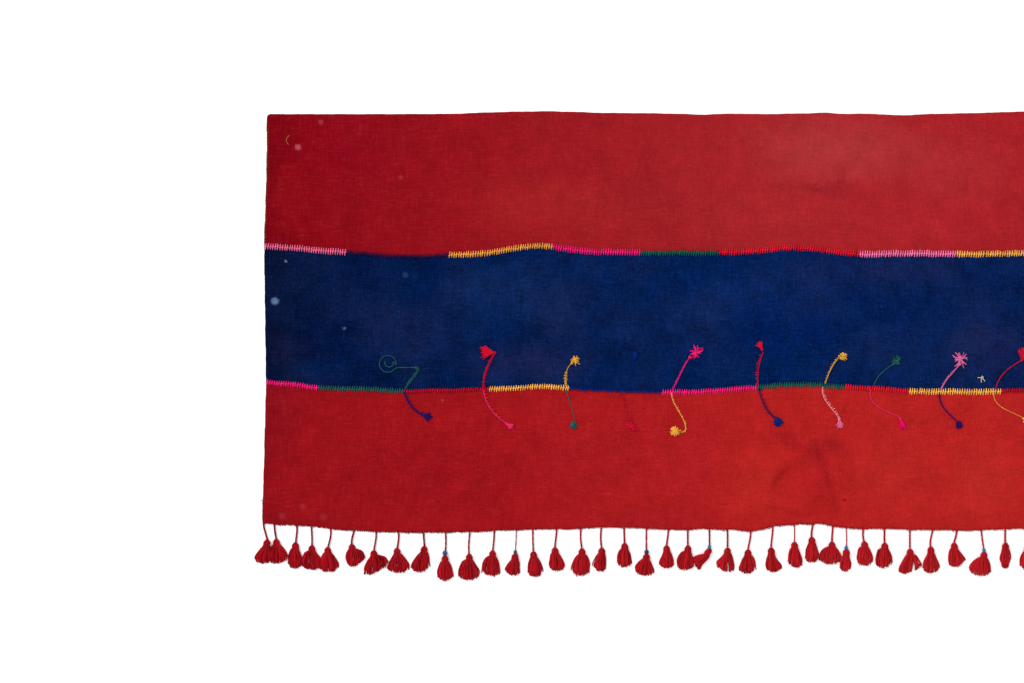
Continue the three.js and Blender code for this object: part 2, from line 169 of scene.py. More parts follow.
BOTTOM_EDGE = WavyEdge(
    -446,
    rows(
        Swell, (0, 95, 11), (320, 160, -8.5), (1035, 45, -6.5), (1155, 65, 10.5), (1490, 100, -3.5),
        (1850, 140, 4), (2250, 160, -5), (2590, 90, 8),
    ),
    phase=3.1,
    unevenness=0.6,
    nicks=rows(
        Swell, (22, 10, 1), (36, 8, -2), (102, 32, 3), (455, 75, -2.4), (560, 50, -1.2),
        (652, 16, -2.4), (742, 58, 2.8), (885, 45, -2.8), (975, 20, -1.2), (1005, 16, 2.4),
        (1092, 14, 1.4), (1134, 12, -1.4), (1166, 14, -2.2), (1199, 22, 3.4), (1290, 30, -1),
        (1392, 18, -2), (1520, 30, -1),
    ),
)
LEFT_END = WavyEdge(
    -1.0,
    rows(Swell, (400, 150, 4), (170, 60, -2), (-110, 90, 1.5), (-450, 170, -6)),
    phase=0.9,
    nicks=rows(Swell, (90, 40, -0.7), (-160, 80, 0.9), (-320, 60, 0.8)),
)
RIGHT_END = WavyEdge(0, rows(Swell, (430, 140, -3), (-60, 120, 3), (-440, 130, 5)), phase=2.7)


@dataclass(frozen=True)
class Buckle:
    """A low swelling of the cloth off the floor, with its half-lengths and its turn in degrees."""

    s: float
    y: float
    along: float
    across: float
    turn: float
    height: float

    def at(self, s: Array, y: Array) -> Array:
        """height * exp(-(a / along)^2 - (c / across)^2) in the turned frame."""
        cos, sin = heading(self.turn)
        a = (s - self.s) * cos + (y - self.y) * sin
        c = (y - self.y) * cos - (s - self.s) * sin
        return self.height * np.exp(-((a / self.along) ** 2) - (c / self.across) ** 2)


@dataclass(frozen=True)
class Crease:
    """A soft trough or ridge along an arc from one point to another."""

    s: float
    y: float
    to_s: float
    to_y: float
    width: float
    height: float
    sag: float = 0.0

    def at(self, s: Array, y: Array) -> Array:
        """height * exp(-(d / width)^2), d from the arc, eased in and out at the arc's ends."""
        chord = np.array([self.to_s - self.s, self.to_y - self.y])
        long = float(np.linalg.norm(chord))
        ax, ay = chord / long
        u = ((s - self.s) * ax + (y - self.y) * ay) / long
        d = (y - self.y) * ax - (s - self.s) * ay - self.sag * 4 * u * (1 - u)
        ends = smoothstep(u * 3.5) * smoothstep((1 - u) * 3.5)
        return self.height * ends * np.exp(-((d / self.width) ** 2))


@dataclass(frozen=True)
class Lie:
    """How the cloth lies on the floor: its buckles, creases and the puckers along its seams."""

    buckle_floor: float = 0.4
    rim_fade: float = 12.0
    ridge_height: float = 0.9
    ridge_width: float = 4.0
    pucker_height: float = 0.3
    pucker_reach: float = 15.0
    end_fade: float = 120.0
    buckles: tuple[Buckle, ...] = rows(
        Buckle, (1150, -375, 95, 42, 12, 4), (1235, -345, 55, 36, 112, 3),
        (455, -345, 130, 45, 38, 3), (1290, 300, 190, 55, -8, 3.5), (760, 345, 150, 50, 6, 2.5),
        (2050, 300, 200, 60, 10, 3), (2120, -345, 150, 45, -14, 3.5),
    )
    creases: tuple[Crease, ...] = rows(
        Crease, (1178, -256, 1238, -440, 5.5, -1.4, 3), (1204, -262, 1258, -420, 11, 1.3, 6),
        (1130, -300, 1078, -392, 9, -1.0, -5), (1056, -372, 1196, -402, 8, 1.2, -9),
        (1060, -385, 1190, -416, 8, -1.1, -8), (352, -418, 560, -262, 10, 0.9, 8),
        (366, -428, 574, -272, 10, -0.7, 8), (478, -184, 479, -345, 6, -0.7, 0),
        (1084, -360, 1138, -304, 5, -1.3, 5), (650, -225, 653, -345, 7, -0.6, 0),
        (380, -215, 382, -340, 7, -0.5, 0), (755, -220, 757, -275, 6, -0.6, 0),
        (716, 350, 790, 347, 9, 0.9, 3), (1048, 308, 1270, 276, 12, 1.2, 14),
        (1060, 292, 1262, 262, 12, -1.0, 14), (1372, 256, 1455, 252, 9, 0.9, 5),
        (300, 210, 470, 196, 14, 0.6, 8), (640, -260, 800, -236, 14, 0.6, 6),
        (860, -20, 1010, 30, 14, 0.6, 8), (210, 20, 330, -40, 14, -0.6, 8),
        (1400, -30, 1530, 26, 14, 0.6, -8), (1480, -330, 1640, -300, 12, 0.9, 8),
        (1850, 260, 2080, 300, 13, 1.0, -12), (2060, -380, 2240, -330, 11, 1.1, 10),
        (2330, -40, 2480, 10, 13, 0.8, 8),
    )

    def lift(self, s: Array, y: Array) -> Array:
        """The underside's height: the buckles over a small floor, faded out towards each rim."""
        total = sum(b.at(s, y) for b in self.buckles)
        return np.maximum(0, total - self.buckle_floor) * smoothstep(self.from_rim(s, y) / self.rim_fade)

    def folds(self, s: Array, y: Array) -> Array:
        """The creases' own height."""
        return sum(crease.at(s, y) for crease in self.creases)

    def from_seam(self, s: Array, y: Array) -> Array:
        """The distance to the nearer seam."""
        return np.minimum(np.abs(y - UPPER_SEAM.at(s)), np.abs(y - LOWER_SEAM.at(s)))

    def from_rim(self, s: Array, y: Array) -> Array:
        """The distance to the nearest edge, seam or end."""
        sides = np.abs(y - TOP_EDGE.at(s)), np.abs(y - BOTTOM_EDGE.at(s))
        return np.minimum.reduce([*sides, self.from_seam(s, y), np.abs(s), np.abs(LENGTH - s)])

    def relief(self, s: Array, y: Array) -> Array:
        """Creases, puckers that fade away from the seams, and slow waves of the cloth."""
        from_seam = self.from_seam(s, y)
        ridge = self.ridge_height * np.exp(-((from_seam / self.ridge_width) ** 2))
        ripple = np.sin(s / 4.1 + 0.9 * np.sin(s / 37)) + 0.6 * np.sin(s / 7.3 + y / 23)
        pucker = self.pucker_height * ripple * np.exp(-from_seam / self.pucker_reach)
        slow = 0.30 * np.sin(s / 33 + y / 71 + 0.8) + 0.26 * np.sin(y / 19 - s / 95 + 1.7)
        slow += 0.2 * np.sin(s / 15 + 2.1 * np.sin(y / 43)) * np.sin(y / 31 + 0.5)
        return ridge + pucker + smoothstep(self.from_rim(s, y) / self.rim_fade) * (slow + self.folds(s, y))

    def top(self, s: Array, y: Array) -> Array:
        """The height of the cloth's upper face."""
        return CLOTH_THICK + self.lift(s, y) + self.relief(s, y)

    def x(self, s: Array, y: Array) -> Array:
        """The row frame's x of a point: the ends waver, and that fades out inwards."""
        left = LEFT_END.at(y) * np.maximum(0, 1 - s / self.end_fade)
        right = RIGHT_END.at(y) * np.maximum(0, 1 - (LENGTH - s) / self.end_fade)
        return s - LENGTH / 2 + left + right

    def place(self, s: Array, y: Array, z: Array) -> Array:
        """Points in the row frame, in millimetres."""
        return np.stack(np.broadcast_arrays(self.x(s, y), y, z), axis=-1)

    def over(self, s: Array, y: Array, height: Array | float) -> Array:
        """Points at a height over the cloth."""
        return self.place(s, y, self.top(s, y) + height)

    def start(self, at: float, edge: WavyEdge) -> Array:
        """The (x, y) of a place on an edge, without its unevenness."""
        level = edge.smooth(np.array(at))
        return np.array([float(self.x(np.array(at), level)), float(level)])


LIE = Lie()


# Meshes from arrays


@dataclass
class Shell:
    """A surface still in arrays: points in mm, dyes, and faces by corner count with their UVs.
    On the cloth the dyes are painted shade by the seams and in creases, and painted light on ridges.
    """

    points: Array
    dye: Array
    faces: list[Array]
    uvs: list[Array]

    @staticmethod
    def of(points: Array, dye: Array | Colour, quads: Array) -> "Shell":
        """A shell of quads whose finish needs no UVs."""
        dye = np.broadcast_to(dye, points.shape)
        return Shell(points, dye, [quads], [np.zeros((*quads.shape, 2))])

    @staticmethod
    def joined(shells: Sequence["Shell"]) -> "Shell":
        """One shell of several, with the faces of each corner count in one array.

        Args:
            shells: the shells, in order.

        Returns:
            The shell of them all.
        """
        starts = np.cumsum([0] + [len(shell.points) for shell in shells])
        faces: dict[int, list[Array]] = {}
        uvs: dict[int, list[Array]] = {}
        for start, shell in zip(starts, shells):
            for face, uv in zip(shell.faces, shell.uvs):
                faces.setdefault(face.shape[1], []).append(face + start)
                uvs.setdefault(face.shape[1], []).append(uv)
        points = np.concatenate([shell.points for shell in shells])
        dye = np.concatenate([shell.dye for shell in shells])
        faces, uvs = ([np.concatenate(group) for group in groups.values()] for groups in (faces, uvs))
        return Shell(points, dye, faces, uvs)

    def piece(self, name: str, material: Material) -> Object:
        """The shell as an object at the origin, with its dye and UVs.

        Args:
            name: the object's name.
            material: the finish of all its faces.

        Returns:
            The object, in the scene's collection.
        """
        loops = np.concatenate([face.ravel() for face in self.faces])
        totals = np.concatenate([np.full(len(face), face.shape[1]) for face in self.faces])
        mesh = bpy.data.meshes.new(name)
        mesh.vertices.add(len(self.points))
        mesh.vertices.foreach_set("co", (self.points * MM).ravel())
        mesh.loops.add(len(loops))
        mesh.loops.foreach_set("vertex_index", loops.astype(np.int32))
        mesh.polygons.add(len(totals))
        mesh.polygons.foreach_set("loop_start", (np.cumsum(totals) - totals).astype(np.int32))
        mesh.polygons.foreach_set("loop_total", totals.astype(np.int32))
        mesh.update(calc_edges=True)
        uv = np.concatenate([uv.reshape(-1, 2) for uv in self.uvs])
        mesh.uv_layers.new(name="yarn")
        mesh.uv_layers["yarn"].data.foreach_set("uv", uv.ravel())
        rgba = np.concatenate([self.dye, np.ones((len(self.dye), 1))], axis=1)
        mesh.attributes.new("dye", "FLOAT_COLOR", "POINT").data.foreach_set("color", rgba.ravel())
        mesh.shade_smooth()
        mesh.materials.append(material)
        made = bpy.data.objects.new(name, mesh)
        bpy.context.scene.collection.objects.link(made)
        LOG.info("%s: %d points, %d faces", name, len(self.points), len(totals))
        return made

    def sewn(self, name: str, material: Material, slot: str = "", node: str = "") -> Object:
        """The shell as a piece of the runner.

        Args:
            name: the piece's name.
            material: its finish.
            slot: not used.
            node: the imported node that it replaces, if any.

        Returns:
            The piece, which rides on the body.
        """
        made = self.piece(name, material)
        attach(made, BODY)
        if node:
            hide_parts(node)
        return made


def grid_faces(lines: int, columns: int, wrapped: bool = False) -> Array:
    """Quads of a grid, counter-clockwise where columns run to +X. A wrapped grid closes both ways."""
    last = 0 if wrapped else 1
    i, j = np.meshgrid(np.arange(lines - last), np.arange(columns - last), indexing="ij")
    here, above = i * columns, (i + 1) % lines * columns
    beside = (j + 1) % columns
    return np.stack([here + j, here + beside, above + beside, above + j], axis=-1).reshape(-1, 4)


def side_and_up(paths: Array, reference: Triple = (0, 0, 1)) -> tuple[Array, Array]:
    """Two directions square to each path: side, which is square to a reference too, and up."""
    tangent = unit(np.gradient(paths, axis=1))
    side = unit(np.cross(tangent, np.array(reference, float)))
    return side, np.cross(side, tangent)


def yarn(
    paths: Array,
    radius: Array | float,
    dye: Array | Colour,
    sides: int = 5,
    reference: Triple = (0, 0, 1),
) -> Shell:
    """Yarns along paths: each ring is the path's point plus radius * (cos a * side + sin a * up).

    Args:
        paths: (yarns, points, 3), in mm.
        radius: one radius, or one for each point.
        dye: one colour, or one for each yarn, or one for each point.
        sides: corners of a ring.
        reference: a direction that no path runs along.

    Returns:
        The yarns as one shell, closed at both ends. U is the length along in mm, and V goes round.
    """
    count, steps = paths.shape[:2]
    side, up = side_and_up(paths, reference)
    turns = (2 * np.pi * np.arange(sides) / sides)[:, None]
    ring = np.cos(turns) * side[:, :, None] + np.sin(turns) * up[:, :, None]
    radius = np.broadcast_to(radius, (count, steps))[..., None, None]
    points = (paths[:, :, None] + radius * ring).reshape(-1, 3)
    colours = np.asarray(dye, float)
    colours = colours.reshape((1, 1, 3) if colours.ndim == 1 else (count, -1, 3))
    colours = np.broadcast_to(colours[:, :, None], (count, steps, sides, 3)).reshape(-1, 3)
    first = (np.arange(count) * steps * sides)[:, None, None]
    rung = first + (np.arange(steps - 1) * sides)[None, :, None]
    j = np.arange(sides)[None, None, :]
    near, far = rung + j, rung + (j + 1) % sides
    quads = np.stack([near, near + sides, far + sides, far], axis=-1).reshape(-1, 4)
    length = travelled(paths)
    u0, u1 = length[:, :-1, None], length[:, 1:, None]
    v0, v1 = j / sides, (j + 1) / sides
    corners = [(u0, v0), (u1, v0), (u1, v1), (u0, v1)]
    shape = (count, steps - 1, sides)
    uv = np.stack([np.broadcast_to(part, shape) for corner in corners for part in corner], axis=-1)
    start_cap = first[:, 0] + np.arange(sides)
    end_cap = (start_cap + (steps - 1) * sides)[:, ::-1]
    caps = np.concatenate([start_cap, end_cap])
    return Shell(points, colours, [quads, caps], [uv.reshape(-1, 4, 2), np.zeros((*caps.shape, 2))])


def plied(path: Array, radius: float, dye: Array, pitch: float) -> Shell:
    """A two-ply cord: each ply winds round the path at about half the cord's radius.

    Args:
        path: (points, 3), in mm.
        radius: the cord's radius.
        dye: its colour.
        pitch: the length of one turn.

    Returns:
        The plies as one shell.
    """
    paths = path[None]
    side, up = side_and_up(paths)
    plies = []
    for start in (0.0, 0.5):
        turn = 2 * np.pi * (travelled(paths) / pitch + start)[..., None]
        wound = paths + 0.48 * radius * (np.cos(turn) * side + np.sin(turn) * up)
        plies.append(yarn(wound, 0.58 * radius, dye))
    return Shell.joined(plies)


# Shader nodes


def feed(slot: bpy.types.NodeSocket, value: object) -> None:
    """Link a wire to a node's slot, or set the slot's own value."""
    if isinstance(value, Wire):
        value.tree.links.new(value.socket, slot)
    else:
        slot.default_value = value


class Wire:
    """A shader socket that can be written in sums, each of which adds a Math node."""

    def __init__(self, tree: bpy.types.NodeTree, socket: bpy.types.NodeSocket) -> None:
        """Keep the tree and the socket."""
        self.tree, self.socket = tree, socket

    def maths(self, operation: str, *values: "Wire | float") -> "Wire":
        """The result of a Math node with these values, in their order."""
        node = self.tree.nodes.new("ShaderNodeMath")
        node.operation = operation
        for slot, value in zip(node.inputs, values):
            feed(slot, value)
        return Wire(self.tree, node.outputs[0])

    def __add__(self, other: "Wire | float") -> "Wire":
        """self + other."""
        return self.maths("ADD", self, other)

    __radd__ = __add__

    def __sub__(self, other: "Wire | float") -> "Wire":
        """self - other."""
        return self.maths("SUBTRACT", self, other)

    def __rsub__(self, other: float) -> "Wire":
        """other - self."""
        return self.maths("SUBTRACT", other, self)

    def __mul__(self, other: "Wire | float") -> "Wire":
        """self * other."""
        return self.maths("MULTIPLY", self, other)

    __rmul__ = __mul__

    def __truediv__(self, other: "Wire | float") -> "Wire":
        """self / other."""
        return self.maths("DIVIDE", self, other)

    def sine(self) -> "Wire":
        """The sine of self."""
        return self.maths("SINE", self)

    def size(self) -> "Wire":
        """self without its sign."""
        return self.maths("ABSOLUTE", self)

    def root(self) -> "Wire":
        """The square root of self."""
        return self.maths("POWER", self, 0.5)

    def held(self) -> "Wire":
        """self held between 0 and 1."""
        return self.maths("MINIMUM", self.maths("MAXIMUM", self, 0.0), 1.0)

    def above(self, edge: float, soft: float) -> "Wire":
        """0 below edge, 1 above edge + soft, and straight between."""
        return ((self - edge) / soft).held()


class Dyer:
    """One material's node tree, with a Principled shader."""

    def __init__(self, name: str, roughness: float, gloss: float = 0.04, coat: float = 0.0) -> None:
        """Start the material.

        Args:
            name: the material's name.
            roughness: the shader's uniform roughness.
            gloss: the shader's uniform specular level.
            coat: the weight of a clear coat.
        """
        self.material = bpy.data.materials.new(name)
        self.material.use_nodes = True
        self.tree = self.material.node_tree
        self.shader = next(n for n in self.tree.nodes if n.type == "BSDF_PRINCIPLED")
        self.shader.inputs["Roughness"].default_value = roughness
        self.shader.inputs["Specular IOR Level"].default_value = gloss
        self.shader.inputs["Coat Weight"].default_value = coat

    def node(
        self,
        kind: str,
        settings: dict[str, object] | None = None,
        output: str | int | None = None,
        **sockets: object,
    ) -> Wire:
        """A node of any other type.

        Args:
            kind: the node's type.
            settings: what is set on the node first, such as its operation, or a ramp's stops.
            output: the output that is wanted, or else the first that is in use.
            sockets: values or wires of its inputs, by name.

        Returns:
            The output.
        """
        made = self.tree.nodes.new(kind)
        for key, value in (settings or {}).items():
            if key != "stops":
                setattr(made, key, value)
                continue
            for _ in value[2:]:
                made.color_ramp.elements.new(0.5)
            for stop, (at, rgb) in zip(made.color_ramp.elements, value):
                stop.position, stop.color = at, (*linear(rgb), 1)
        for key, value in sockets.items():
            feed(next(s for s in made.inputs if s.name == key and s.enabled), value)
        if output is None:
            output = next(i for i, s in enumerate(made.outputs) if s.enabled)
        return Wire(self.tree, made.outputs[output])

    def object_mm(self, stretch: Triple = (1, 1, 1)) -> Wire:
        """Object coordinates in millimetres, scaled."""
        source = self.node("ShaderNodeTexCoord", output="Object")
        return self.node("ShaderNodeMapping", Vector=source, Scale=tuple(1000 * value for value in stretch))

    def noise(
        self, scale: float, detail: float = 2.0, rough: float = 0.5, stretch: Triple = (1, 1, 1)
    ) -> Wire:
        """Noise about 0.

        Args:
            scale: its blobs for each millimetre.
            detail: its octaves.
            rough: how strong the finer octaves are.
            stretch: the scale's shares along X, Y and Z.

        Returns:
            The noise.
        """
        at = self.object_mm(stretch)
        return self.node("ShaderNodeTexNoise", Vector=at, Scale=scale, Detail=detail, Roughness=rough) - 0.5

    def dye(self) -> Wire:
        """The mesh's dye attribute: the yarns' and beads' own colour, and on the cloth painted shade by the
        seams and in creases, with painted light on ridges.
        """
        return self.node("ShaderNodeAttribute", {"attribute_name": "dye"}, output="Color")

    def split(self, vector: Wire) -> list[Wire]:
        """The x, y and z of a vector."""
        return [self.node("ShaderNodeSeparateXYZ", output=axis, Vector=vector) for axis in range(3)]

    def blend(self, factor: Wire | float, a: Wire | Colour, b: Wire | Colour, kind: str = "MIX") -> Wire:
        """Colour a mixed with colour b by a factor."""
        a, b = (value if isinstance(value, Wire) else (*value, 1) for value in (a, b))
        return self.node("ShaderNodeMix", {"data_type": "RGBA", "blend_type": kind}, Factor=factor, A=a, B=b)

    def tone(self, colour: Wire, value: Wire) -> Wire:
        """A colour made lighter or darker by a value about 1."""
        return self.node("ShaderNodeVectorMath", {"operation": "SCALE"}, Vector=colour, Scale=value)

    def finish(self, colour: Wire, height: Wire, depth: float) -> Material:
        """The material with a colour, and a bump where a height of 1 measures depth in mm."""
        bump = self.node("ShaderNodeBump", Height=height, Distance=depth * MM, Strength=1.0)
        feed(self.shader.inputs["Base Color"], colour)
        feed(self.shader.inputs["Normal"], bump)
        return self.material


def linear(rgb: Rgb) -> Colour:
    """A dye that shows as a colour of 0 to 255 in the room's light.

    The colour as light is ((c + 0.055) / 1.055)^2.4, or c / 12.92 where dark. The dye is that over
    the light that falls on the floor.
    """
    c = np.array(rgb) / 255
    light = np.where(c > 0.04045, ((c + 0.055) / 1.055) ** 2.4, c / 12.92)
    return tuple(float(v) for v in light / ROOM_LIGHT)


@dataclass(frozen=True)
class LightAndTonePatch:
    """A wide soft area of painted light and shade over the cloth, with the cloth's own uneven colour."""

    s: float
    y: float
    along: float
    across: float
    strength: float
    rgb: Rgb


@dataclass(frozen=True)
class Stain:
    """A pale spot on the cloth."""

    s: float
    y: float
    radius: float
    strength: float


@dataclass(frozen=True)
class Slub:
    """A short dark thread that stands out of the weave."""

    s: float
    y: float
    long: float
    wide: float
    strength: float


@dataclass(frozen=True)
class WovenWool:
    """The finish of a band: its dye along the runner with a painted fall of light, its weave and nap, lint,
    soft areas of painted light and shade among its own uneven colour, stains and slubs.
    """

    name: str
    # the ramp's stops along the runner: the cloth's own colour with a painted fall of light, darker at the
    # left end
    dyes: tuple[tuple[float, Rgb], ...]
    nap: Rgb
    mark: Rgb
    grain: float
    light_and_tone_patches: tuple[LightAndTonePatch, ...]
    stains: tuple[Stain, ...]
    slubs: tuple[Slub, ...] = ()
    lint: float = 0.0
    nap_strength: float = 0.07
    warp_pitch: float = 1.5
    weft_pitch: float = 1.25
    bump: float = 0.28
    lint_rgb: Rgb = (110, 120, 180)
    slub_rgb: Rgb = (70, 14, 18)

    def material(self) -> Material:
        """The dye changes slowly along the runner, lighter to the right: the cloth's own colour with a
        painted fall of light that leaves the left end darker. Long noise gives uneven yarns, and sines
        the weave.

        Returns:
            The material.
        """
        d = Dyer(self.name, roughness=0.95, gloss=0.0)
        x, y, _ = d.split(d.object_mm())
        s = x + LENGTH / 2
        # painted light: the ramp lightens towards the right end, the cloth's own colour with a painted fall
        # of light that leaves the left end darker
        ramp = d.node("ShaderNodeValToRGB", {"stops": self.dyes}, Fac=s / LENGTH + 0.1 * d.noise(0.006))
        weft = d.noise(1.0, 3.0, 0.65, (0.03, 0.29, 1))
        warp = d.noise(1.0, 3.0, 0.65, (0.26, 0.035, 1))
        fleck = d.noise(0.22, 3.0, 0.7)
        uneven = 0.55 * weft + 0.45 * warp + 0.8 * d.noise(0.022, 4.0) + 1.15 * fleck
        nap = (weft + 0.8 * warp).above(0.0, 0.4)
        # soft areas of painted light and shade over the dye, with the cloth's own uneven colour
        faded = d.blend(nap * self.nap_strength, self.painted_light_and_tone(d, ramp, s, y), linear(self.nap))
        # times the mesh's dye attribute, which on the cloth holds painted shade by the seams and in creases
        # and painted light on ridges
        colour = d.blend(1.0, d.tone(faded, 1 + self.grain * uneven), d.dye(), "MULTIPLY")
        weave = (x * (2 * math.pi / self.warp_pitch)).sine() * (y * (2 * math.pi / self.weft_pitch)).sine()
        height = 0.5 * weave + 0.9 * weft + 0.9 * warp + 1.4 * fleck
        return d.finish(self.marks(d, colour, s, y, fleck), height, self.bump)

    def painted_light_and_tone(self, d: Dyer, colour: Wire, s: Wire, y: Wire) -> Wire:
        """Soft areas of painted light and shade over the dye, with the cloth's own uneven colour.
        Each is (1 - r^2)^2 of an ellipse whose rim wanders.

        Args:
            d: the material's nodes.
            colour: the dye.
            s: millimetres from the left end.
            y: millimetres across.

        Returns:
            The colour with its patches.
        """
        stray_s = s + 110 * d.noise(0.016, 3.0, 0.6)
        stray_y = y + 80 * d.noise(0.021, 3.0, 0.6)
        for patch in self.light_and_tone_patches:
            along, across = (stray_s - patch.s) / patch.along, (stray_y - patch.y) / patch.across
            inside = (1 - along * along - across * across).held()
            colour = d.blend(inside * inside * patch.strength, colour, linear(patch.rgb))
        return colour

    def marks(self, d: Dyer, colour: Wire, s: Wire, y: Wire, fleck: Wire) -> Wire:
        """Lint, stains and slubs over the dye.

        Args:
            d: the material's nodes.
            colour: the dye.
            s: millimetres from the left end.
            y: millimetres across.
            fleck: a fine noise that breaks up each mark's rim.

        Returns:
            The marked colour.
        """
        if self.lint:
            bits = d.noise(0.42, 1.0).above(0.235, 0.05)
            dust = d.noise(0.007).above(-0.08, 0.3) * (fleck + 0.5)
            colour = d.blend(bits * self.lint + dust * 0.05, colour, linear(self.lint_rgb))
        for stain in self.stains:
            far = ((s - stain.s) * (s - stain.s) + (y - stain.y) * (y - stain.y)).root()
            spot = (1 - (far + 14 * fleck) / stain.radius).above(0.0, 0.5)
            colour = d.blend(spot * (stain.strength * (0.8 + 1.6 * fleck)), colour, linear(self.mark))
        for slub in self.slubs:
            off = ((s - slub.s) / slub.long).size() + ((y - slub.y) / slub.wide).size()
            spot = (1 - off - 0.8 * fleck).above(0.0, 0.4)
            colour = d.blend(spot * slub.strength, colour, linear(self.slub_rgb))
        return colour


@dataclass(frozen=True)
class SpunWool:
    """The finish of loose yarn: the mesh's own dye with a twist that winds along it."""

    name: str
    twist: float
    fuzz: float = 0.5
    bump: float = 0.45

    def material(self) -> Material:
        """The dye times 1 plus noise. The bump is a sine of the length along and the turn round."""
        d = Dyer(self.name, roughness=0.9, gloss=0.03)
        u, v, _ = d.split(d.node("ShaderNodeUVMap", {"uv_map": "yarn"}))
        wind = (u * (2 * math.pi / self.twist) + v * (4 * math.pi)).sine()
        hair = d.noise(0.9, 3.0, 0.7)
        colour = d.tone(d.dye(), 1 + 0.14 * wind + self.fuzz * hair)
        return d.finish(colour, 0.5 * wind + 1.2 * hair, self.bump)


@dataclass(frozen=True)
class PressedGlass:
    """The finish of the beads: opaque coloured glass, in the mesh's own dye."""

    name: str

    def material(self) -> Material:
        """The dye with faint streaks, under a gloss coat."""
        d = Dyer(self.name, roughness=0.3, gloss=0.15, coat=0.12)
        streak = d.noise(0.8, 2.0, 0.5, (1, 0.3, 1))
        return d.finish(d.tone(d.dye(), 1 + 0.5 * streak), streak, 0.1)


# The three bands of cloth


@dataclass
class Panel:
    """One woven band between two wavy edges, as a closed sheet of two layers."""

    name: str
    low: WavyEdge
    high: WavyEdge
    low_inset: float
    high_inset: float
    finish: WovenWool
    slot: str
    flat_width: float
    corner_radius: float = 0.0
    # painted shade by the seams and in creases, and painted light on ridges, carried in the cloth's dye
    # attribute
    seam_shade: float = 0.4
    seam_shade_reach: float = 5.0
    fold_shade: float = 0.13
    fold_light: float = 0.03
    thinnest: float = 0.7
    columns: int = 521
    middle_rows: int = 38
    edge_rows: tuple[float, ...] = (0.0, 0.7, 1.8, 3.6, 6.0, 9.5)
    rim_drop: tuple[float, ...] = (0.9, 0.2, 0.0, 0.0, 0.0, 0.0)

    def grid(self) -> tuple[Array, Array, Array]:
        """The band's points before they are placed.

        Returns:
            s, y and the rim's drop, in rows at set distances from each edge and even shares between.
        """
        s = np.linspace(0, LENGTH, self.columns)[None, :]
        low, high = self.low.at(s) + self.low_inset, self.high.at(s) - self.high_inset
        near = np.array(self.edge_rows)[:, None]
        margin = self.edge_rows[-1] + 4
        share = np.linspace(0, 1, self.middle_rows)[:, None]
        middle = low + margin + share * (high - low - 2 * margin)
        y = np.concatenate([low + near, middle, high - near[::-1]])
        drop = np.array([*self.rim_drop, *[0.0] * self.middle_rows, *self.rim_drop[::-1]])[:, None]
        s, high, drop = (np.broadcast_to(part, y.shape) for part in (s, high, drop))
        return *self.cornered(s, y, high), drop

    def cornered(self, s: Array, y: Array, high: Array) -> tuple[Array, Array]:
        """The far left corner drawn in to a quarter circle.

        Args:
            s: distances from the left end.
            y: distances across.
            high: the far edge.

        Returns:
            s and y, where a square of the corner's radius is scaled by its larger side over its diagonal.
        """
        r = self.corner_radius
        a, b = np.maximum(0, r - s), np.maximum(0, r - (high - y))
        inside = (a > 0) & (b > 0)
        scale = np.maximum(a, b) / np.maximum(np.hypot(a, b), 1e-6)
        return np.where(inside, r - a * scale, s), np.where(inside, high - r + b * scale, y)

    def shade(self, s: Array, y: Array) -> Array:
        """1, with painted shade by the seams and in creases, and painted light on ridges."""
        painted_seam_shade = self.seam_shade * np.exp(-((LIE.from_seam(s, y) / self.seam_shade_reach) ** 2))
        folds = LIE.folds(s, y)
        painted_fold_shade_and_light = self.fold_shade * np.minimum(folds, 0) + self.fold_light * np.maximum(folds, 0)
        return (1 - painted_seam_shade) * (1 + painted_fold_shade_and_light)

    def build(self, rests_on: Object, on_it: list[Object]) -> None:
        """The band's mesh: an upper and a lower grid, joined by a wall round their rims.

        Args:
            rests_on: not used.
            on_it: not used.
        """
        s, y, drop = self.grid()
        lift = LIE.lift(s, y)
        top = LIE.place(s, y, np.maximum(LIE.top(s, y) - drop, lift + self.thinnest))
        bottom = LIE.place(s, y, lift + 0.6 * drop)
        under = s.size
        lid = grid_faces(*s.shape)
        index = np.arange(under).reshape(s.shape)
        rim = np.concatenate([index[0], index[1:, -1], index[-1, -2::-1], index[-2::-1, 0]])
        wall = np.stack([rim[:-1] + under, rim[1:] + under, rim[1:], rim[:-1]], axis=-1)
        points = np.concatenate([top.reshape(-1, 3), bottom.reshape(-1, 3)])
        # the cloth's dye attribute holds only painted shade and light, no colour of its own
        dye = np.tile(self.shade(s, y).reshape(-1, 1), (2, 3))
        shell = Shell.of(points, dye, np.concatenate([lid, (lid + under)[:, ::-1], wall]))
        made = shell.sewn(f"{self.name}_cloth", self.finish.material(), self.slot, self.name)


# Yarns


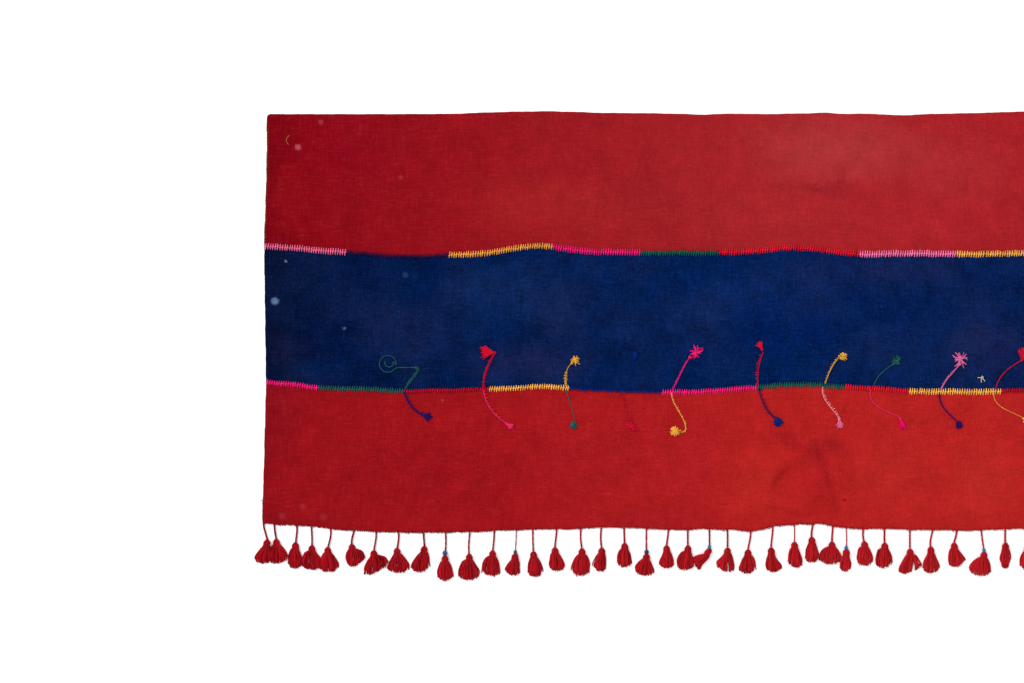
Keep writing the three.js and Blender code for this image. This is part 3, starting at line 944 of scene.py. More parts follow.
class Wool(Enum):
    """The dyed yarns, each with its record slot and its colour."""

    ROSE = ("yarn_rose", (238, 106, 146))
    LILAC = ("yarn_rose", (226, 108, 162))
    SALMON = ("yarn_rose", (246, 146, 150))
    LIGHT_PINK = ("yarn_rose", (250, 122, 172))
    ROYAL = ("yarn_navy", (4, 36, 116))
    BRIGHT_ROYAL = ("yarn_navy", (4, 40, 120))
    DIM_ROYAL = ("yarn_navy", (4, 38, 112))
    INDIGO = ("yarn_navy", (60, 20, 66))
    NAVY = ("yarn_navy", (32, 22, 92))
    AMBER = ("yarn_gold", (240, 164, 72))
    GOLD = ("yarn_gold", (230, 166, 62))
    YELLOW = ("yarn_gold", (252, 182, 84))
    MAGENTA = ("yarn_magenta", (244, 34, 122))
    HOT_PINK = ("yarn_magenta", (236, 10, 104))
    GREEN = ("yarn_green", (26, 94, 84))
    DARK_GREEN = ("yarn_green", (36, 92, 88))
    RED = ("yarn_scarlet", (228, 26, 46))
    CRIMSON = ("yarn_scarlet", (188, 18, 46))
    SCARLET = ("yarn_scarlet", (206, 18, 50))
    PINK = ("yarn_pink", (234, 44, 100))

    @property
    def slot(self) -> str:
        """The record's slot."""
        return self.value[0]

    @property
    def dye(self) -> Array:
        """The colour as light, raised for the shade that yarns throw on each other."""
        return np.minimum(1.22 * np.array(linear(self.value[1])), 0.95)


def shaded(colour: Array, count: int, rng: Draw, spread: float = 0.14) -> Array:
    """A colour for each of count yarns, lighter or darker by up to about spread."""
    return np.clip(colour * (1 + spread * rng.standard_normal((count, 1))), 0, 1)


@dataclass(frozen=True)
class Run:
    """A length of stitches in one yarn: where it ends, and how far its bars reach to each side."""

    until: float
    wool: Wool
    far: float = 6.5
    near: float = 6.5


@dataclass
class JoiningStitches:
    """The comb of stitches that joins two bands: a bar to each side and a link along the seam."""

    name: str
    seam: WavyEdge
    runs: tuple[Run, ...]
    seed: int
    pitch: float = 5.1
    thick: float = 1.15
    link_thick: float = 0.9
    start: float = -1.0

    def bars(self, s: Array, reach: Array, side: int, rng: Draw) -> Array:
        """Paths of the bars on one side, which start across the seam, arch and dive into the cloth.

        Args:
            s: the stitches' places.
            reach: how far each goes from the seam.
            side: 1 for the far side and -1 for the near one.
            rng: the draw of the hand's unevenness.

        Returns:
            The paths.
        """
        share = np.linspace(0, 1, 5)[None, :]
        reach = (reach[:, None] * (1 + 0.08 * rng.standard_normal((len(s), 1)))).clip(1.2, 10)
        lean = 1 + 0.35 * rng.standard_normal((len(s), 1))
        along = s[:, None] + side * lean * (share - 0.2)
        across = self.seam.at(s)[:, None] + side * (self.start + (reach - self.start) * share)
        height = self.thick * (0.9 + 0.5 * np.sin(np.pi * share)) - 1.5 * share**5
        return LIE.over(along, across, height)

    def links(self, s: Array, middle: Array, rng: Draw) -> Array:
        """Paths of the links along the middle of the stitches, each over the next bar."""
        share = np.linspace(-0.6, 0.6, 5)[None, :]
        swing = 0.6 * rng.standard_normal((len(s), 1))
        across = (self.seam.at(s) + middle)[:, None] + swing + 2.0 * share
        height = self.thick * (0.8 + 0.5 * np.cos(np.pi * share / 0.6))
        return LIE.over(s[:, None] + self.pitch * share, across, height)

    def build(self, finish: Material) -> list[Object]:
        """One piece for each slot of yarn that the seam has.

        Args:
            finish: their material.

        Returns:
            The pieces, by the names of their slots.
        """
        rng = np.random.default_rng(self.seed)
        s = np.arange(self.pitch * 0.6, LENGTH - self.pitch * 0.4, self.pitch)
        s = s + 0.25 * rng.standard_normal(len(s))
        mine = np.searchsorted([run.until for run in self.runs], s).clip(0, len(self.runs) - 1)
        far, near = np.array([(run.far, run.near) for run in self.runs])[mine].T
        groups = [
            (self.bars(s, far, 1, rng), self.thick),
            (self.bars(s, near, -1, rng), self.thick),
            (self.links(s, (far - near) / 3, rng), self.link_thick),
        ]
        dyes = shaded(np.array([run.wool.dye for run in self.runs])[mine], len(s), rng, 0.1)
        slots = np.array([run.wool.slot for run in self.runs])[mine]
        pieces = []
        for slot in sorted(set(slots)):
            shells = [yarn(paths[slots == slot], thick, dyes[slots == slot]) for paths, thick in groups]
            pieces.append(Shell.joined(shells).sewn(f"{self.name}_{slot}", finish, slot))
        return pieces


# Tassels


@dataclass(frozen=True)
class Bead:
    """A glass bead on a tassel's cord."""

    across: float
    rgb: Rgb


@dataclass(frozen=True)
class Tassel:
    """One tassel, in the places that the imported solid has.

    root is where the cord leaves the edging. cord is how far the crown hangs below the edge, and
    drift how far right of the root. long is from the crown to the skirt's tips, and left and right
    are how far the skirt spreads. Each side bellies out sooner the smaller its belly is. slope makes
    the right side shorter, gather draws the tips in, and parted opens the skirt.
    """

    root: float
    cord: float
    drift: float
    long: float
    left: float
    right: float
    left_belly: float = 0.6
    right_belly: float = 0.6
    slope: float = 0.0
    gather: float = 0.08
    thin: bool = False
    parted: float = 0.0
    parted_at: float = 0.0
    bead: Bead | None = None

    @property
    def lean(self) -> float:
        """How far the head leans towards the skirt's middle."""
        return 0.3 * (self.right - self.left)


BRIGHT_BLUE_BEAD = Bead(8, (16, 116, 180))
TASSELS = (
    Tassel(2.5, 34, 8, 50, 27, 8, 1.1, 0.9),
    Tassel(25, 32, 4, 51, 17, 24, 0.5, 0.7, slope=0.05),
    Tassel(70.6, 35, -3, 54, 15, 14, 0.5, 0.9),
    Tassel(100.2, 38, 1, 51, 22, 22, 0.32, 0.9),
    Tassel(140, 38, -6, 52, 16, 24, 0.45, 0.75, slope=0.04),
    Tassel(191, 29, -5, 46, 14, 29, 0.4, 0.2, slope=0.05, gather=0.45),
    Tassel(238, 40, -5, 46, 21, 29, 0.9, 0.16, slope=0.24),
    Tassel(286, 33, -3, 52, 21, 26, 1.1, 0.75),
    Tassel(340, 29, 2, 54, 28, 8, 0.95, 0.5, slope=0.04),
    Tassel(387, 50, -1, 53, 16, 18, 0.5, 0.7, bead=Bead(11, (34, 74, 116))),
    Tassel(440, 49, -2, 55, 21, 21, 0.4, 0.9),
    Tassel(491.5, 44, -3, 53, 23, 16, 0.4, 0.7, slope=-0.04),
    Tassel(539, 52, -2, 45, 22, 9, 1.0, 0.4, slope=-0.04, thin=True, bead=Bead(8, (20, 72, 88))),
    Tassel(575, 48, 1, 53, 11, 19, 0.8, 0.75),
    Tassel(626, 40, -4, 49, 11, 21, 0.3, 0.8),
    Tassel(678.5, 42, 2, 57, 22, 16, 0.7, 0.45),
    Tassel(722, 41, 1, 49, 16, 8, 0.7, 0.6, slope=-0.04),
    Tassel(771, 31, 1, 50, 15, 14, 0.45, 0.8),
    Tassel(819, 54, 0, 45, 24, 15, 0.5, 0.9, slope=-0.05, bead=Bead(10, (14, 52, 84))),
    Tassel(866, 36, -4, 47, 15, 16, 1.3, 0.6),
    Tassel(908, 36, 0, 51, 24, 12, 0.4, 1.0),
    Tassel(954, 42, 0, 38, 38, -22, 0.5, 2.4, slope=-0.3, bead=BRIGHT_BLUE_BEAD),
    Tassel(993, 38, 0, 49, 22, 12, 1.1, 0.4, slope=-0.1, parted=3, parted_at=0.3),
    Tassel(1043, 39, -6, 50, 19, 14, 0.9, 0.5),
    Tassel(1090.5, 43, -4, 51, 11, 22, 1.0, 1.9),
    Tassel(1136.5, 38, 0, 53, 12, 17, 0.5, 0.9, slope=-0.06, thin=True),
    Tassel(1177, 27, -3, 53, 14, 15, 0.9, 0.8),
    Tassel(1219.5, 32, -2, 47, 26, 20, 0.35, 0.6),
    Tassel(1248, 45, 0, 46, 13, 10, 1.0, 1.2, thin=True, bead=BRIGHT_BLUE_BEAD),
    Tassel(1286, 27, 1, 51, 14, 18, 0.3, 0.7, gather=0.15),
    Tassel(1330.6, 30, 0, 52, 18, 15, 0.25, 0.8, slope=0.04),
    Tassel(1385, 42, 0, 50, 19, 20, 0.8, 0.35, slope=0.14, parted=7, parted_at=0.4),
    Tassel(1434.7, 36, -5, 55, 17, 18, 1.3, 1.1),
    Tassel(1485.4, 27, -6, 49, 10, 23, 0.3, 1.1, slope=0.06),
    Tassel(1539, 47, 5, 50, 29, 15, 0.5, 0.7, bead=BRIGHT_BLUE_BEAD),
    Tassel(1590, 29, 0, 53, 11, 10, 0.9, 0.5, gather=0.2),
    Tassel(1637, 36, 0, 52, 14, 14),
)
TASSEL_PITCH = 45.4
LATER_TASSELS = 21
LATER_START, LATER_STRIDE = 2, 7
COLUMN_PITCH = LENGTH / 44
EDGING_ENDS = tuple(column * COLUMN_PITCH for column in (0, 7, 15, 22, 29, 38, 44))


def all_tassels() -> list[Tassel]:
    """The tassels above, then more whose shapes repeat them in turn."""
    later = []
    for i in range(LATER_TASSELS):
        like = TASSELS[(LATER_START + i * LATER_STRIDE) % len(TASSELS)]
        root = TASSELS[-1].root + (i + 1) * TASSEL_PITCH + like.drift / 2
        later.append(replace(like, root=root))
    return [*TASSELS, *later]


@dataclass
class TasselRow:
    """A length of the overcast edging and the tassels that hang from it."""

    number: int
    from_s: float
    to_s: float
    tassels: list[Tassel]
    head_long: float = 11.5
    head_half: tuple[float, ...] = (2.4, 5.8, 6.7, 5.6, 5.8)
    head_middle: float = 4.9
    head_thick: float = 3.4
    skirt_low: float = 1.25
    skirt_thick: tuple[float, float] = (6.2, 3.0)
    lowest: float = 1.1
    strand_points: int = 13
    strand_radius: float = 1.25
    strand_shade: float = 0.22
    binding_turns: int = 3
    binding_half: tuple[float, float] = (5.5, 4.1)
    binding_middle: float = 4.7
    binding_radius: float = 0.85
    cord_radius: float = 2.4
    thin_cord_radius: float = 1.6
    cord_pitch: float = 7.5
    cord_heights: Triple = (2.4, 2.5, 5.0)
    layers: tuple[tuple[int, float, float], ...] = ((20, 1.0, 1.0), (19, 0.35, 0.55), (18, -0.7, 0.08))
    wrap_pitch: float = 3.9
    wrap_middle: tuple[float, float] = (2.4, 1.35)
    wrap_half: tuple[float, float] = (2.6, 1.75)
    wrap_low: float = 0.95
    wrap_slant: float = 1.9
    wrap_radius: float = 0.9
    bead_corners: tuple[int, int] = (20, 12)
    bead_tilt: float = 66.0
    # each pair runs from the left end to the right: the yarn's own colour with a painted fall of light that
    # leaves the left end darker
    dye_and_light_ramp_length: float = 1500.0
    head_dye_and_light: tuple[Rgb, Rgb] = ((160, 18, 28), (186, 26, 34))
    skirt_dye_and_light: tuple[Rgb, Rgb] = ((172, 16, 30), (200, 34, 40))
    cord_dye_and_light: tuple[Rgb, Rgb] = ((140, 14, 40), (188, 28, 42))
    edging_dye_and_light: tuple[Rgb, Rgb] = ((166, 24, 32), (194, 40, 40))

    def dye(self, dyes: tuple[Rgb, Rgb], s: Array | float) -> Array:
        """The dye at s: the first blends into the second over the ramp's length. Each pair is the yarn's own
        colour with a painted fall of light that leaves the left end darker.
        """
        share = np.clip(np.asarray(s) / self.dye_and_light_ramp_length, 0, 1)[..., None]
        return np.array(linear(dyes[0])) * (1 - share) + np.array(linear(dyes[1])) * share

    def crown(self, tassel: Tassel) -> Array:
        """The top of a tassel's head."""
        return LIE.start(tassel.root, BOTTOM_EDGE) + [tassel.drift, -tassel.cord]

    def skirt(self, tassel: Tassel, rng: Draw) -> Shell:
        """The strands of a tassel, from its crown over its head and neck to its tips.

        Across, a strand at share q of the width is at q * half-width of the head down to the neck.
        From there it goes to its tip by a sine that makes the skirt a bell.

        Args:
            tassel: its sizes.
            rng: the draw of the strands' unevenness.

        Returns:
            The strands.
        """
        q = np.concatenate([np.linspace(-1, 1, count) for count, _, _ in self.layers])[:, None]
        q = (q + 0.05 * rng.standard_normal(q.shape)).clip(-1.02, 1.02)
        levels = np.concatenate([np.full((count, 2), level) for count, *level in self.layers])
        head_level, skirt_level = levels[:, :1], levels[:, 1:]
        t = np.linspace(0, 1, self.strand_points)[None, :] ** 0.9
        neck = self.head_long / tassel.long
        bell = np.clip((t - neck) / (1 - neck), 0, 1)
        side = smoothstep((q + 1) / 2)
        flare = np.sin(np.pi * bell / 2) ** (tassel.left_belly * (1 - side) + tassel.right_belly * side)
        half = np.interp(t, [0, 0.25 * neck, 0.6 * neck, neck, neck + 0.08], self.head_half)
        tip = -tassel.left + (tassel.left + tassel.right) * (q + 1) / 2
        tip = (tip + 1.5 * rng.standard_normal(q.shape)) * (1 - tassel.gather * smoothstep(2 * bell - 1))
        tip = tip + np.sign(q - tassel.parted_at) * tassel.parted / 2 * smoothstep(2 * bell - 0.5)
        wave = 1.2 * np.sin(2 * np.pi * (1.1 * bell + rng.random(q.shape))) * bell
        x = (q * half + tassel.lean * np.minimum(t, neck)) * (1 - flare) + tip * flare + wave
        short = 0.15 * np.abs(q) ** 2.5 + tassel.slope * q - 0.022 * rng.standard_normal(q.shape)
        y = -t * tassel.long * (1 - short * bell)
        round_off = np.sqrt(np.clip(1 - 0.85 * q**2, 0.05, 1))
        head_z = self.head_middle + self.head_thick * head_level * round_off
        skirt_z = self.skirt_low + skirt_level * round_off * np.interp(bell, [0, 1], self.skirt_thick)
        skirt_z = skirt_z + 0.35 * np.sin(2 * np.pi * (1.5 * bell + rng.random(q.shape))) * bell
        low = np.minimum(1, flare * 1.6)
        z = np.maximum(head_z * (1 - low) + skirt_z * low, self.lowest)
        crown = self.crown(tassel)
        below = flare[..., None]
        head, skirt = self.dye(self.head_dye_and_light, tassel.root), self.dye(self.skirt_dye_and_light, tassel.root)
        dye = head * (1 - below) + skirt * below
        dye = np.clip(dye * (1 + self.strand_shade * rng.standard_normal((len(q), 1, 1))), 0, 1)
        taper = self.strand_radius * np.interp(t, [0, 0.8, 1], [1.05, 1, 0.7])
        return yarn(np.stack([crown[0] + x, crown[1] + y, z], axis=-1), taper, dye, sides=4)

    def binding(self, tassel: Tassel) -> Shell:
        """The yarn round the neck: an ellipse that creeps along by 1 mm a turn."""
        turn = np.linspace(0, 2 * np.pi * self.binding_turns, 34)
        x, y = self.crown(tassel) + [tassel.lean * self.head_long / tassel.long, -self.head_long - 1.6]
        wide, tall = self.binding_half
        z = self.binding_middle + tall * np.sin(turn)
        path = np.stack([x + wide * np.cos(turn), y + turn / (2 * np.pi), z], axis=-1)[None]
        dye = self.dye(self.head_dye_and_light, tassel.root)
        return yarn(path, self.binding_radius, dye, sides=4, reference=(0, 1, 0))

    def hanger(self, tassel: Tassel, rng: Draw) -> Shell:
        """The two-ply cord from the edging into the crown, which rises through its bead if it has one.

        Args:
            tassel: its sizes.
            rng: the draw of the cord's bow.

        Returns:
            The cord.
        """
        start = LIE.start(tassel.root, BOTTOM_EDGE) + [0, 2.5]
        end = self.crown(tassel) - [0, 3.0]
        share = np.linspace(0, 1, 20)
        bow = 1.3 * rng.standard_normal() * np.sin(np.pi * share)
        x = start[0] + (end[0] - start[0]) * smoothstep(share) + bow
        y = start[1] + (end[1] - start[1]) * share
        z = np.interp(share, [0, 0.85, 1], self.cord_heights)
        if tassel.bead:
            rise = tassel.bead.across / 2 - self.cord_heights[1]
            z = z + rise * np.exp(-(((y - self.bead_at(tassel)) / 7) ** 2))
        radius = self.thin_cord_radius if tassel.thin else self.cord_radius
        dye = self.dye(self.cord_dye_and_light, tassel.root)
        return plied(np.stack([x, y, z], axis=-1), radius, dye, self.cord_pitch)

    def bead_at(self, tassel: Tassel) -> float:
        """The y of a bead's middle, just over the crown."""
        return float(self.crown(tassel)[1]) + tassel.bead.across / 2

    def edging(self, rng: Draw) -> Shell:
        """Slanted overcast stitches that wrap the cloth's edge: most of an ellipse about it.

        Args:
            rng: the draw of the stitches' unevenness.

        Returns:
            The stitches.
        """
        at = np.arange(self.from_s + 2, self.to_s - 2.4, self.wrap_pitch)
        at = (at + 0.5 * rng.standard_normal(len(at)))[:, None]
        share = np.linspace(0, 1, 7)[None, :]
        loop = np.abs(rng.standard_normal(at.shape)) * 0.6
        turn = np.pi * (0.04 + 1.12 * share)
        (inward, up), (wide, tall) = self.wrap_middle, self.wrap_half
        across = BOTTOM_EDGE.at(at) + inward + (wide + loop) * np.cos(turn)
        height = np.maximum(up + tall * np.sin(turn), self.wrap_low)
        along = at + self.wrap_slant * (share - 0.5) + 0.3 * rng.standard_normal(at.shape)
        wraps = LIE.place(along.clip(self.from_s + 0.5, self.to_s - 1.8), across, height)
        dye = shaded(self.dye(self.edging_dye_and_light, at[:, 0]), len(at), rng)
        return yarn(wraps, self.wrap_radius, dye, sides=4)

    def build(self, finish: Material) -> Object:
        """The row as one piece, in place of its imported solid."""
        rng = np.random.default_rng(300 + self.number)
        shells = [self.edging(rng)]
        for tassel in self.tassels:
            shells += [self.hanger(tassel, rng), self.skirt(tassel, rng), self.binding(tassel)]
        name, node = f"tassels_{self.number}", f"tassel_row_{self.number}"
        return Shell.joined(shells).sewn(name, finish, "tassel_wool", node)

    def beads(self) -> list[Shell]:
        """The row's beads: balls cut flat at a straight hole for the cord, resting on the floor."""
        around, over = self.bead_corners
        tilts = np.radians(np.linspace(-self.bead_tilt, self.bead_tilt, over))
        turn, tilt = np.meshgrid(2 * np.pi * np.arange(around) / around, tilts, indexing="ij")
        shells = []
        for tassel in self.tassels:
            if tassel.bead:
                ball = [np.cos(tilt) * np.cos(turn), 1.02 * np.sin(tilt), 1 + np.cos(tilt) * np.sin(turn)]
                middle = [self.crown(tassel)[0], self.bead_at(tassel), 0]
                points = middle + tassel.bead.across / 2 * np.stack(ball, axis=-1).reshape(-1, 3)
                quads = grid_faces(around, over, wrapped=True)
                shells.append(Shell.of(points, linear(tassel.bead.rgb), quads))
        return shells


# Yarn tails


class Tuft(Enum):
    """How a tail ends: its number of strands, their radius and bend, and the height of its dome."""

    FAN = (38, 1.0, 6.0, 2.4)
    STAR = (26, 0.95, 26.0, 2.4)
    PUFF = (64, 1.3, 6.0, 5.2)
    LOOSE = (0, 0.0, 0.0, 0.0)


class Hitches(Enum):
    """The hitches along a tail: their pitch, their reach to each side, and whether both sides have them."""

    LADDER = (3.4, 3.2, True)
    TEETH = (5.0, 5.4, False)
    FINE = (3.6, 2.8, False)
    SPARSE = (7.6, 5.0, False)
    SMOOTH = (0.0, 0.0, False)


LADDER, TEETH, FINE, SPARSE, SMOOTH = Hitches
FAN, STAR, PUFF, LOOSE = Tuft


@dataclass(frozen=True)
class Curl:
    """A stretch that carries a tail on round a circle, placed from the tail's start on the seam."""

    dx: float
    dy: float
    radius: float
    start: float
    sweep: float


@dataclass(frozen=True)
class Tail:
    """One tail of twisted yarn, lying on the cloth from the seam to its tuft.

    It leaves the seam and arrives at its end at these turns, in degrees. The tuft has a length, a
    width and the turn that it points to, starts past the end by a gap, and can be another yarn. The
    tail's own start lies to one side by a shift. The hitches go on until a share of its length.
    """

    leave: float
    dx: float
    dy: float
    arrive: float
    long: float = 0.0
    wide: float = 0.0
    points: float = 0.0
    tuft: Tuft = PUFF
    hitches: Hitches = SMOOTH
    radius: float = 1.3
    until: float = 1.0
    curls: tuple[Curl, ...] = ()
    gap: float = 0.0
    shift: float = 0.0
    tip: Wool | None = None

    def route(self, at: float) -> Array:
        """The path across the cloth: a cubic curve with handles of 0.38 of its chord, then any curl.

        Args:
            at: the tail's place on the lower seam.

        Returns:
            Points of (x, y), about 1.5 mm apart.
        """
        seam = LIE.start(at, LOWER_SEAM)
        start, end = seam + [self.shift, 3 * np.sign(self.dy)], seam + [self.dx, self.dy]
        handle = 0.38 * float(np.linalg.norm(end - start))
        inner, outer = start + handle * heading(self.leave), end - handle * heading(self.arrive)
        u = np.linspace(0, 1, 40)[:, None]
        path = (1 - u) ** 3 * start + 3 * u * (1 - u) ** 2 * inner + 3 * u**2 * (1 - u) * outer + u**3 * end
        for curl in self.curls:
            turns = curl.start + curl.sweep * np.linspace(0, 1, 36)
            ring = seam + [curl.dx, curl.dy] + curl.radius * heading(turns)
            bridge = np.linspace(0, 1, 12)[1:-1, None]
            path = np.concatenate([path, path[-1] + (ring[0] - path[-1]) * bridge, ring])
        return rounded(path) if self.curls else path


SPIRAL = rows(Curl, (-37, 58, 18.5, -25, -345), (-34, 60, 9, 20, -230))
HOOK = rows(Curl, (20, -79, 8, 0, -105))
TAIL_PAIRS = (
    (
        300,
        Tail(65, 30, 50, 70, tuft=LOOSE, hitches=LADDER, radius=1.1, until=0.24, curls=SPIRAL),
        Tail(-70, 36, -51, -25, 22, 15, -20, FAN, TEETH, 1.9, shift=-2),
    ),
    (
        469,
        Tail(92, 24, 77, 62, 31, 22, 176, FAN, LADDER),
        Tail(-85, 50, -76, -35, 15, 13, -30, FAN, SPARSE, 1.4),
    ),
    (
        646,
        Tail(95, 13, 53, 40, 22, 17, 40, STAR, LADDER, 0.9, 0.6),
        Tail(-78, 18, -75, -88, 15, 15, -110, radius=1.1),
    ),
    (
        774,
        Tail(70, 19, 70, 92, 14, 13, 80, FAN, FINE, 0.9),
        Tail(-97, 12, -68, -62, 22, 20, -75, STAR, SPARSE, 0.8, shift=-5),
    ),
    (
        875,
        Tail(62, 37, 74, 58, 42, 23, 36, STAR, FINE, 1.2),
        Tail(-85, 27, -72, -75, 28, 22, 172, PUFF, FINE, 1.1, curls=HOOK, shift=-3, tip=Wool.GOLD),
    ),
    (
        1059,
        Tail(95, 11, 74, 68, 18, 9, 116, FAN, TEETH, 1.1, gap=6),
        Tail(-75, 37, -70, -38, 20, 20, -49, PUFF, TEETH, tip=Wool.BRIGHT_ROYAL),
    ),
    (
        1203,
        Tail(72, 31, 61, 48, 16, 16, 5, PUFF, FINE, 1.1),
        Tail(-98, 30, -73, -60, 20, 11, -82, FAN, TEETH, 1.1, shift=-6, tip=Wool.ROSE),
    ),
    (
        1307,
        Tail(76, 43, 52, 32, 26, 17, 50, STAR),
        Tail(-112, 56, -62, -22, 22, 11, -75, FAN, SMOOTH, 1.35, gap=4, shift=-6, tip=Wool.HOT_PINK),
    ),
    (
        1452,
        Tail(68, 40, 58, 52, 29, 28, 88, STAR, FINE, 1.4),
        Tail(-94, 36, -66, -42, 15, 14, -62, radius=1.8, shift=-4),
    ),
    (1568, Tail(76, 57, 66, 28, 28, 30, 70, FAN), Tail(-95, 60, -57, -27, 20, 16, -30, radius=1.0, shift=-3)),
)
LATER_PAIRS = ((1712, 2), (1855, 6), (1990, 1), (2130, 7), (2290, 5))
TAIL_WOOLS = (
    (Wool.DARK_GREEN, Wool.NAVY), (Wool.SCARLET, Wool.PINK), (Wool.GOLD, Wool.DARK_GREEN),
    (Wool.DIM_ROYAL, Wool.SCARLET), (Wool.MAGENTA, Wool.AMBER), (Wool.SCARLET, Wool.NAVY),
    (Wool.GOLD, Wool.SALMON), (Wool.DARK_GREEN, Wool.PINK), (Wool.LILAC, Wool.NAVY),
    (Wool.SCARLET, Wool.AMBER),
)


@dataclass
class LaidTail:
    """A tail made up: its cord and its tuft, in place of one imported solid."""

    node: str
    at: float
    tail: Tail
    wool: Wool
    seed: int
    ply_pitch: float = 5.0
    hitch_radius: float = 0.85
    knot_radius: float = 1.3

    def rise(self, points: Array, over: Array | float) -> Array:
        """Points of (x, y) lifted to a height over the cloth under them."""
        height = LIE.top(points[..., 0] + LENGTH / 2, points[..., 1]) + over
        return np.concatenate([points, height[..., None]], axis=-1)

    def cord(self, rng: Draw) -> list[Shell]:
        """The tail's plies, and the small hitches across them that give it teeth.

        Args:
            rng: the draw of the hitches.

        Returns:
            The cord's shells.
        """
        route, radius = self.tail.route(self.at), self.tail.radius
        shells = [plied(self.rise(route, radius + 0.1), radius, self.wool.dye, self.ply_pitch)]
        pitch, reach, both = self.tail.hitches.value
        if not pitch:
            return shells
        length = travelled(route)
        at = np.arange(2.0, length[-1] * self.tail.until - 1, pitch)
        at = at + 0.12 * pitch * rng.standard_normal(len(at))
        lines = [*route.T, *np.gradient(route, axis=0).T]
        there = np.stack([np.interp(at, length, line) for line in lines], axis=-1)[:, None]
        middle, forward = there[..., :2], unit(there[..., 2:])
        across = np.stack([-forward[..., 1], forward[..., 0]], axis=-1)
        share = np.linspace(0, 1, 4)[None, :, None]
        long = reach * (0.9 + 0.25 * rng.standard_normal((len(at), 1, 1))).clip(0.5, 1.4)
        inner = -long if both else 0.0 * long
        rungs = middle + across * (inner + (long - inner) * share) + forward * 1.3 * (share - 0.5)
        arch = radius * (0.7 + 1.3 * np.sin(np.pi * (0.15 + 0.7 * share[..., 0])))
        dye = shaded(self.wool.dye, len(at), rng)
        shells.append(yarn(self.rise(rungs, arch), self.hitch_radius, dye, sides=4))
        return shells

    def tuft(self, rng: Draw) -> list[Shell]:
        """The cut strands at the tail's end, at turns and lengths that suit the kind of tuft.

        Args:
            rng: the draw of the strands.

        Returns:
            The strands, and a knot at their root unless they hide it.
        """
        kind, tail = self.tail.tuft, self.tail
        if kind is LOOSE:
            return []
        count, thick, sway, dome = kind.value
        ahead = heading(tail.points)
        end = tail.route(self.at)[-1] + tail.gap * ahead
        even = np.linspace(-1, 1, count)[:, None]
        jitter = rng.standard_normal((count, 1))
        if kind is FAN:
            half = math.degrees(math.atan2(tail.wide / 2, tail.long * 0.75))
            root = np.broadcast_to(end, (count, 2))
            turn = tail.points + half * even + 3 * jitter
            reach = tail.long * (0.95 - 0.2 * even**2 + 0.09 * rng.standard_normal((count, 1)))
        elif kind is STAR:
            root = np.broadcast_to(end + 0.4 * tail.long * ahead, (count, 2))
            turn = tail.points + 180 * even + 9 * jitter
            reach = tail.wide * (0.5 + 0.15 * rng.standard_normal((count, 1))).clip(0.25, 0.8)
        else:
            root = end + 0.45 * tail.long * ahead + 0.9 * rng.standard_normal((count, 2))
            turn = tail.points + 540 * even + 60 * jitter
            reach = tail.wide * (0.4 + 0.09 * rng.standard_normal((count, 1))).clip(0.2, 0.6)
        share = np.linspace(0, 1, 5)[None, :]
        bend = sway * rng.standard_normal((count, 1)) * share
        paths = root[:, None] + heading(turn + bend) * (reach * share)[..., None]
        over = 1.0 + rng.random((count, 1)) * dome * np.cos(0.45 * np.pi * share)
        dye = shaded((tail.tip or self.wool).dye, count, rng, 0.16)
        shells = [yarn(self.rise(paths, over), thick, dye, sides=4)]
        if kind is not PUFF:
            knot = end + 1.8 * heading(np.linspace(0, 330, 12))
            shells.append(yarn(self.rise(knot, 2.4)[None], self.knot_radius, self.wool.dye))
        return shells

    def build(self, finish: Material) -> Object:
        """The tail as one piece."""
        rng = np.random.default_rng(self.seed)
        shell = Shell.joined([*self.cord(rng), *self.tuft(rng)])
        return shell.sewn(f"{self.node}_yarn", finish, self.wool.slot, self.node)


def laid_tails(finish: Material) -> tuple[list[Object], list[Object]]:
    """All the tails, in pairs along the lower seam.

    Args:
        finish: their material.

    Returns:
        Those over the blue band, and those over the red one.
    """
    later = [(at, *TAIL_PAIRS[like][1:]) for at, like in LATER_PAIRS]
    up, down = [], []
    for i, (at, over, under) in enumerate([*TAIL_PAIRS, *later]):
        wools = TAIL_WOOLS[i % len(TAIL_WOOLS)]
        up.append(LaidTail(f"tail_up_{i + 1:02d}", at, over, wools[0], 500 + i).build(finish))
        down.append(LaidTail(f"tail_down_{i + 1:02d}", at, under, wools[1], 600 + i).build(finish))
    return up, down


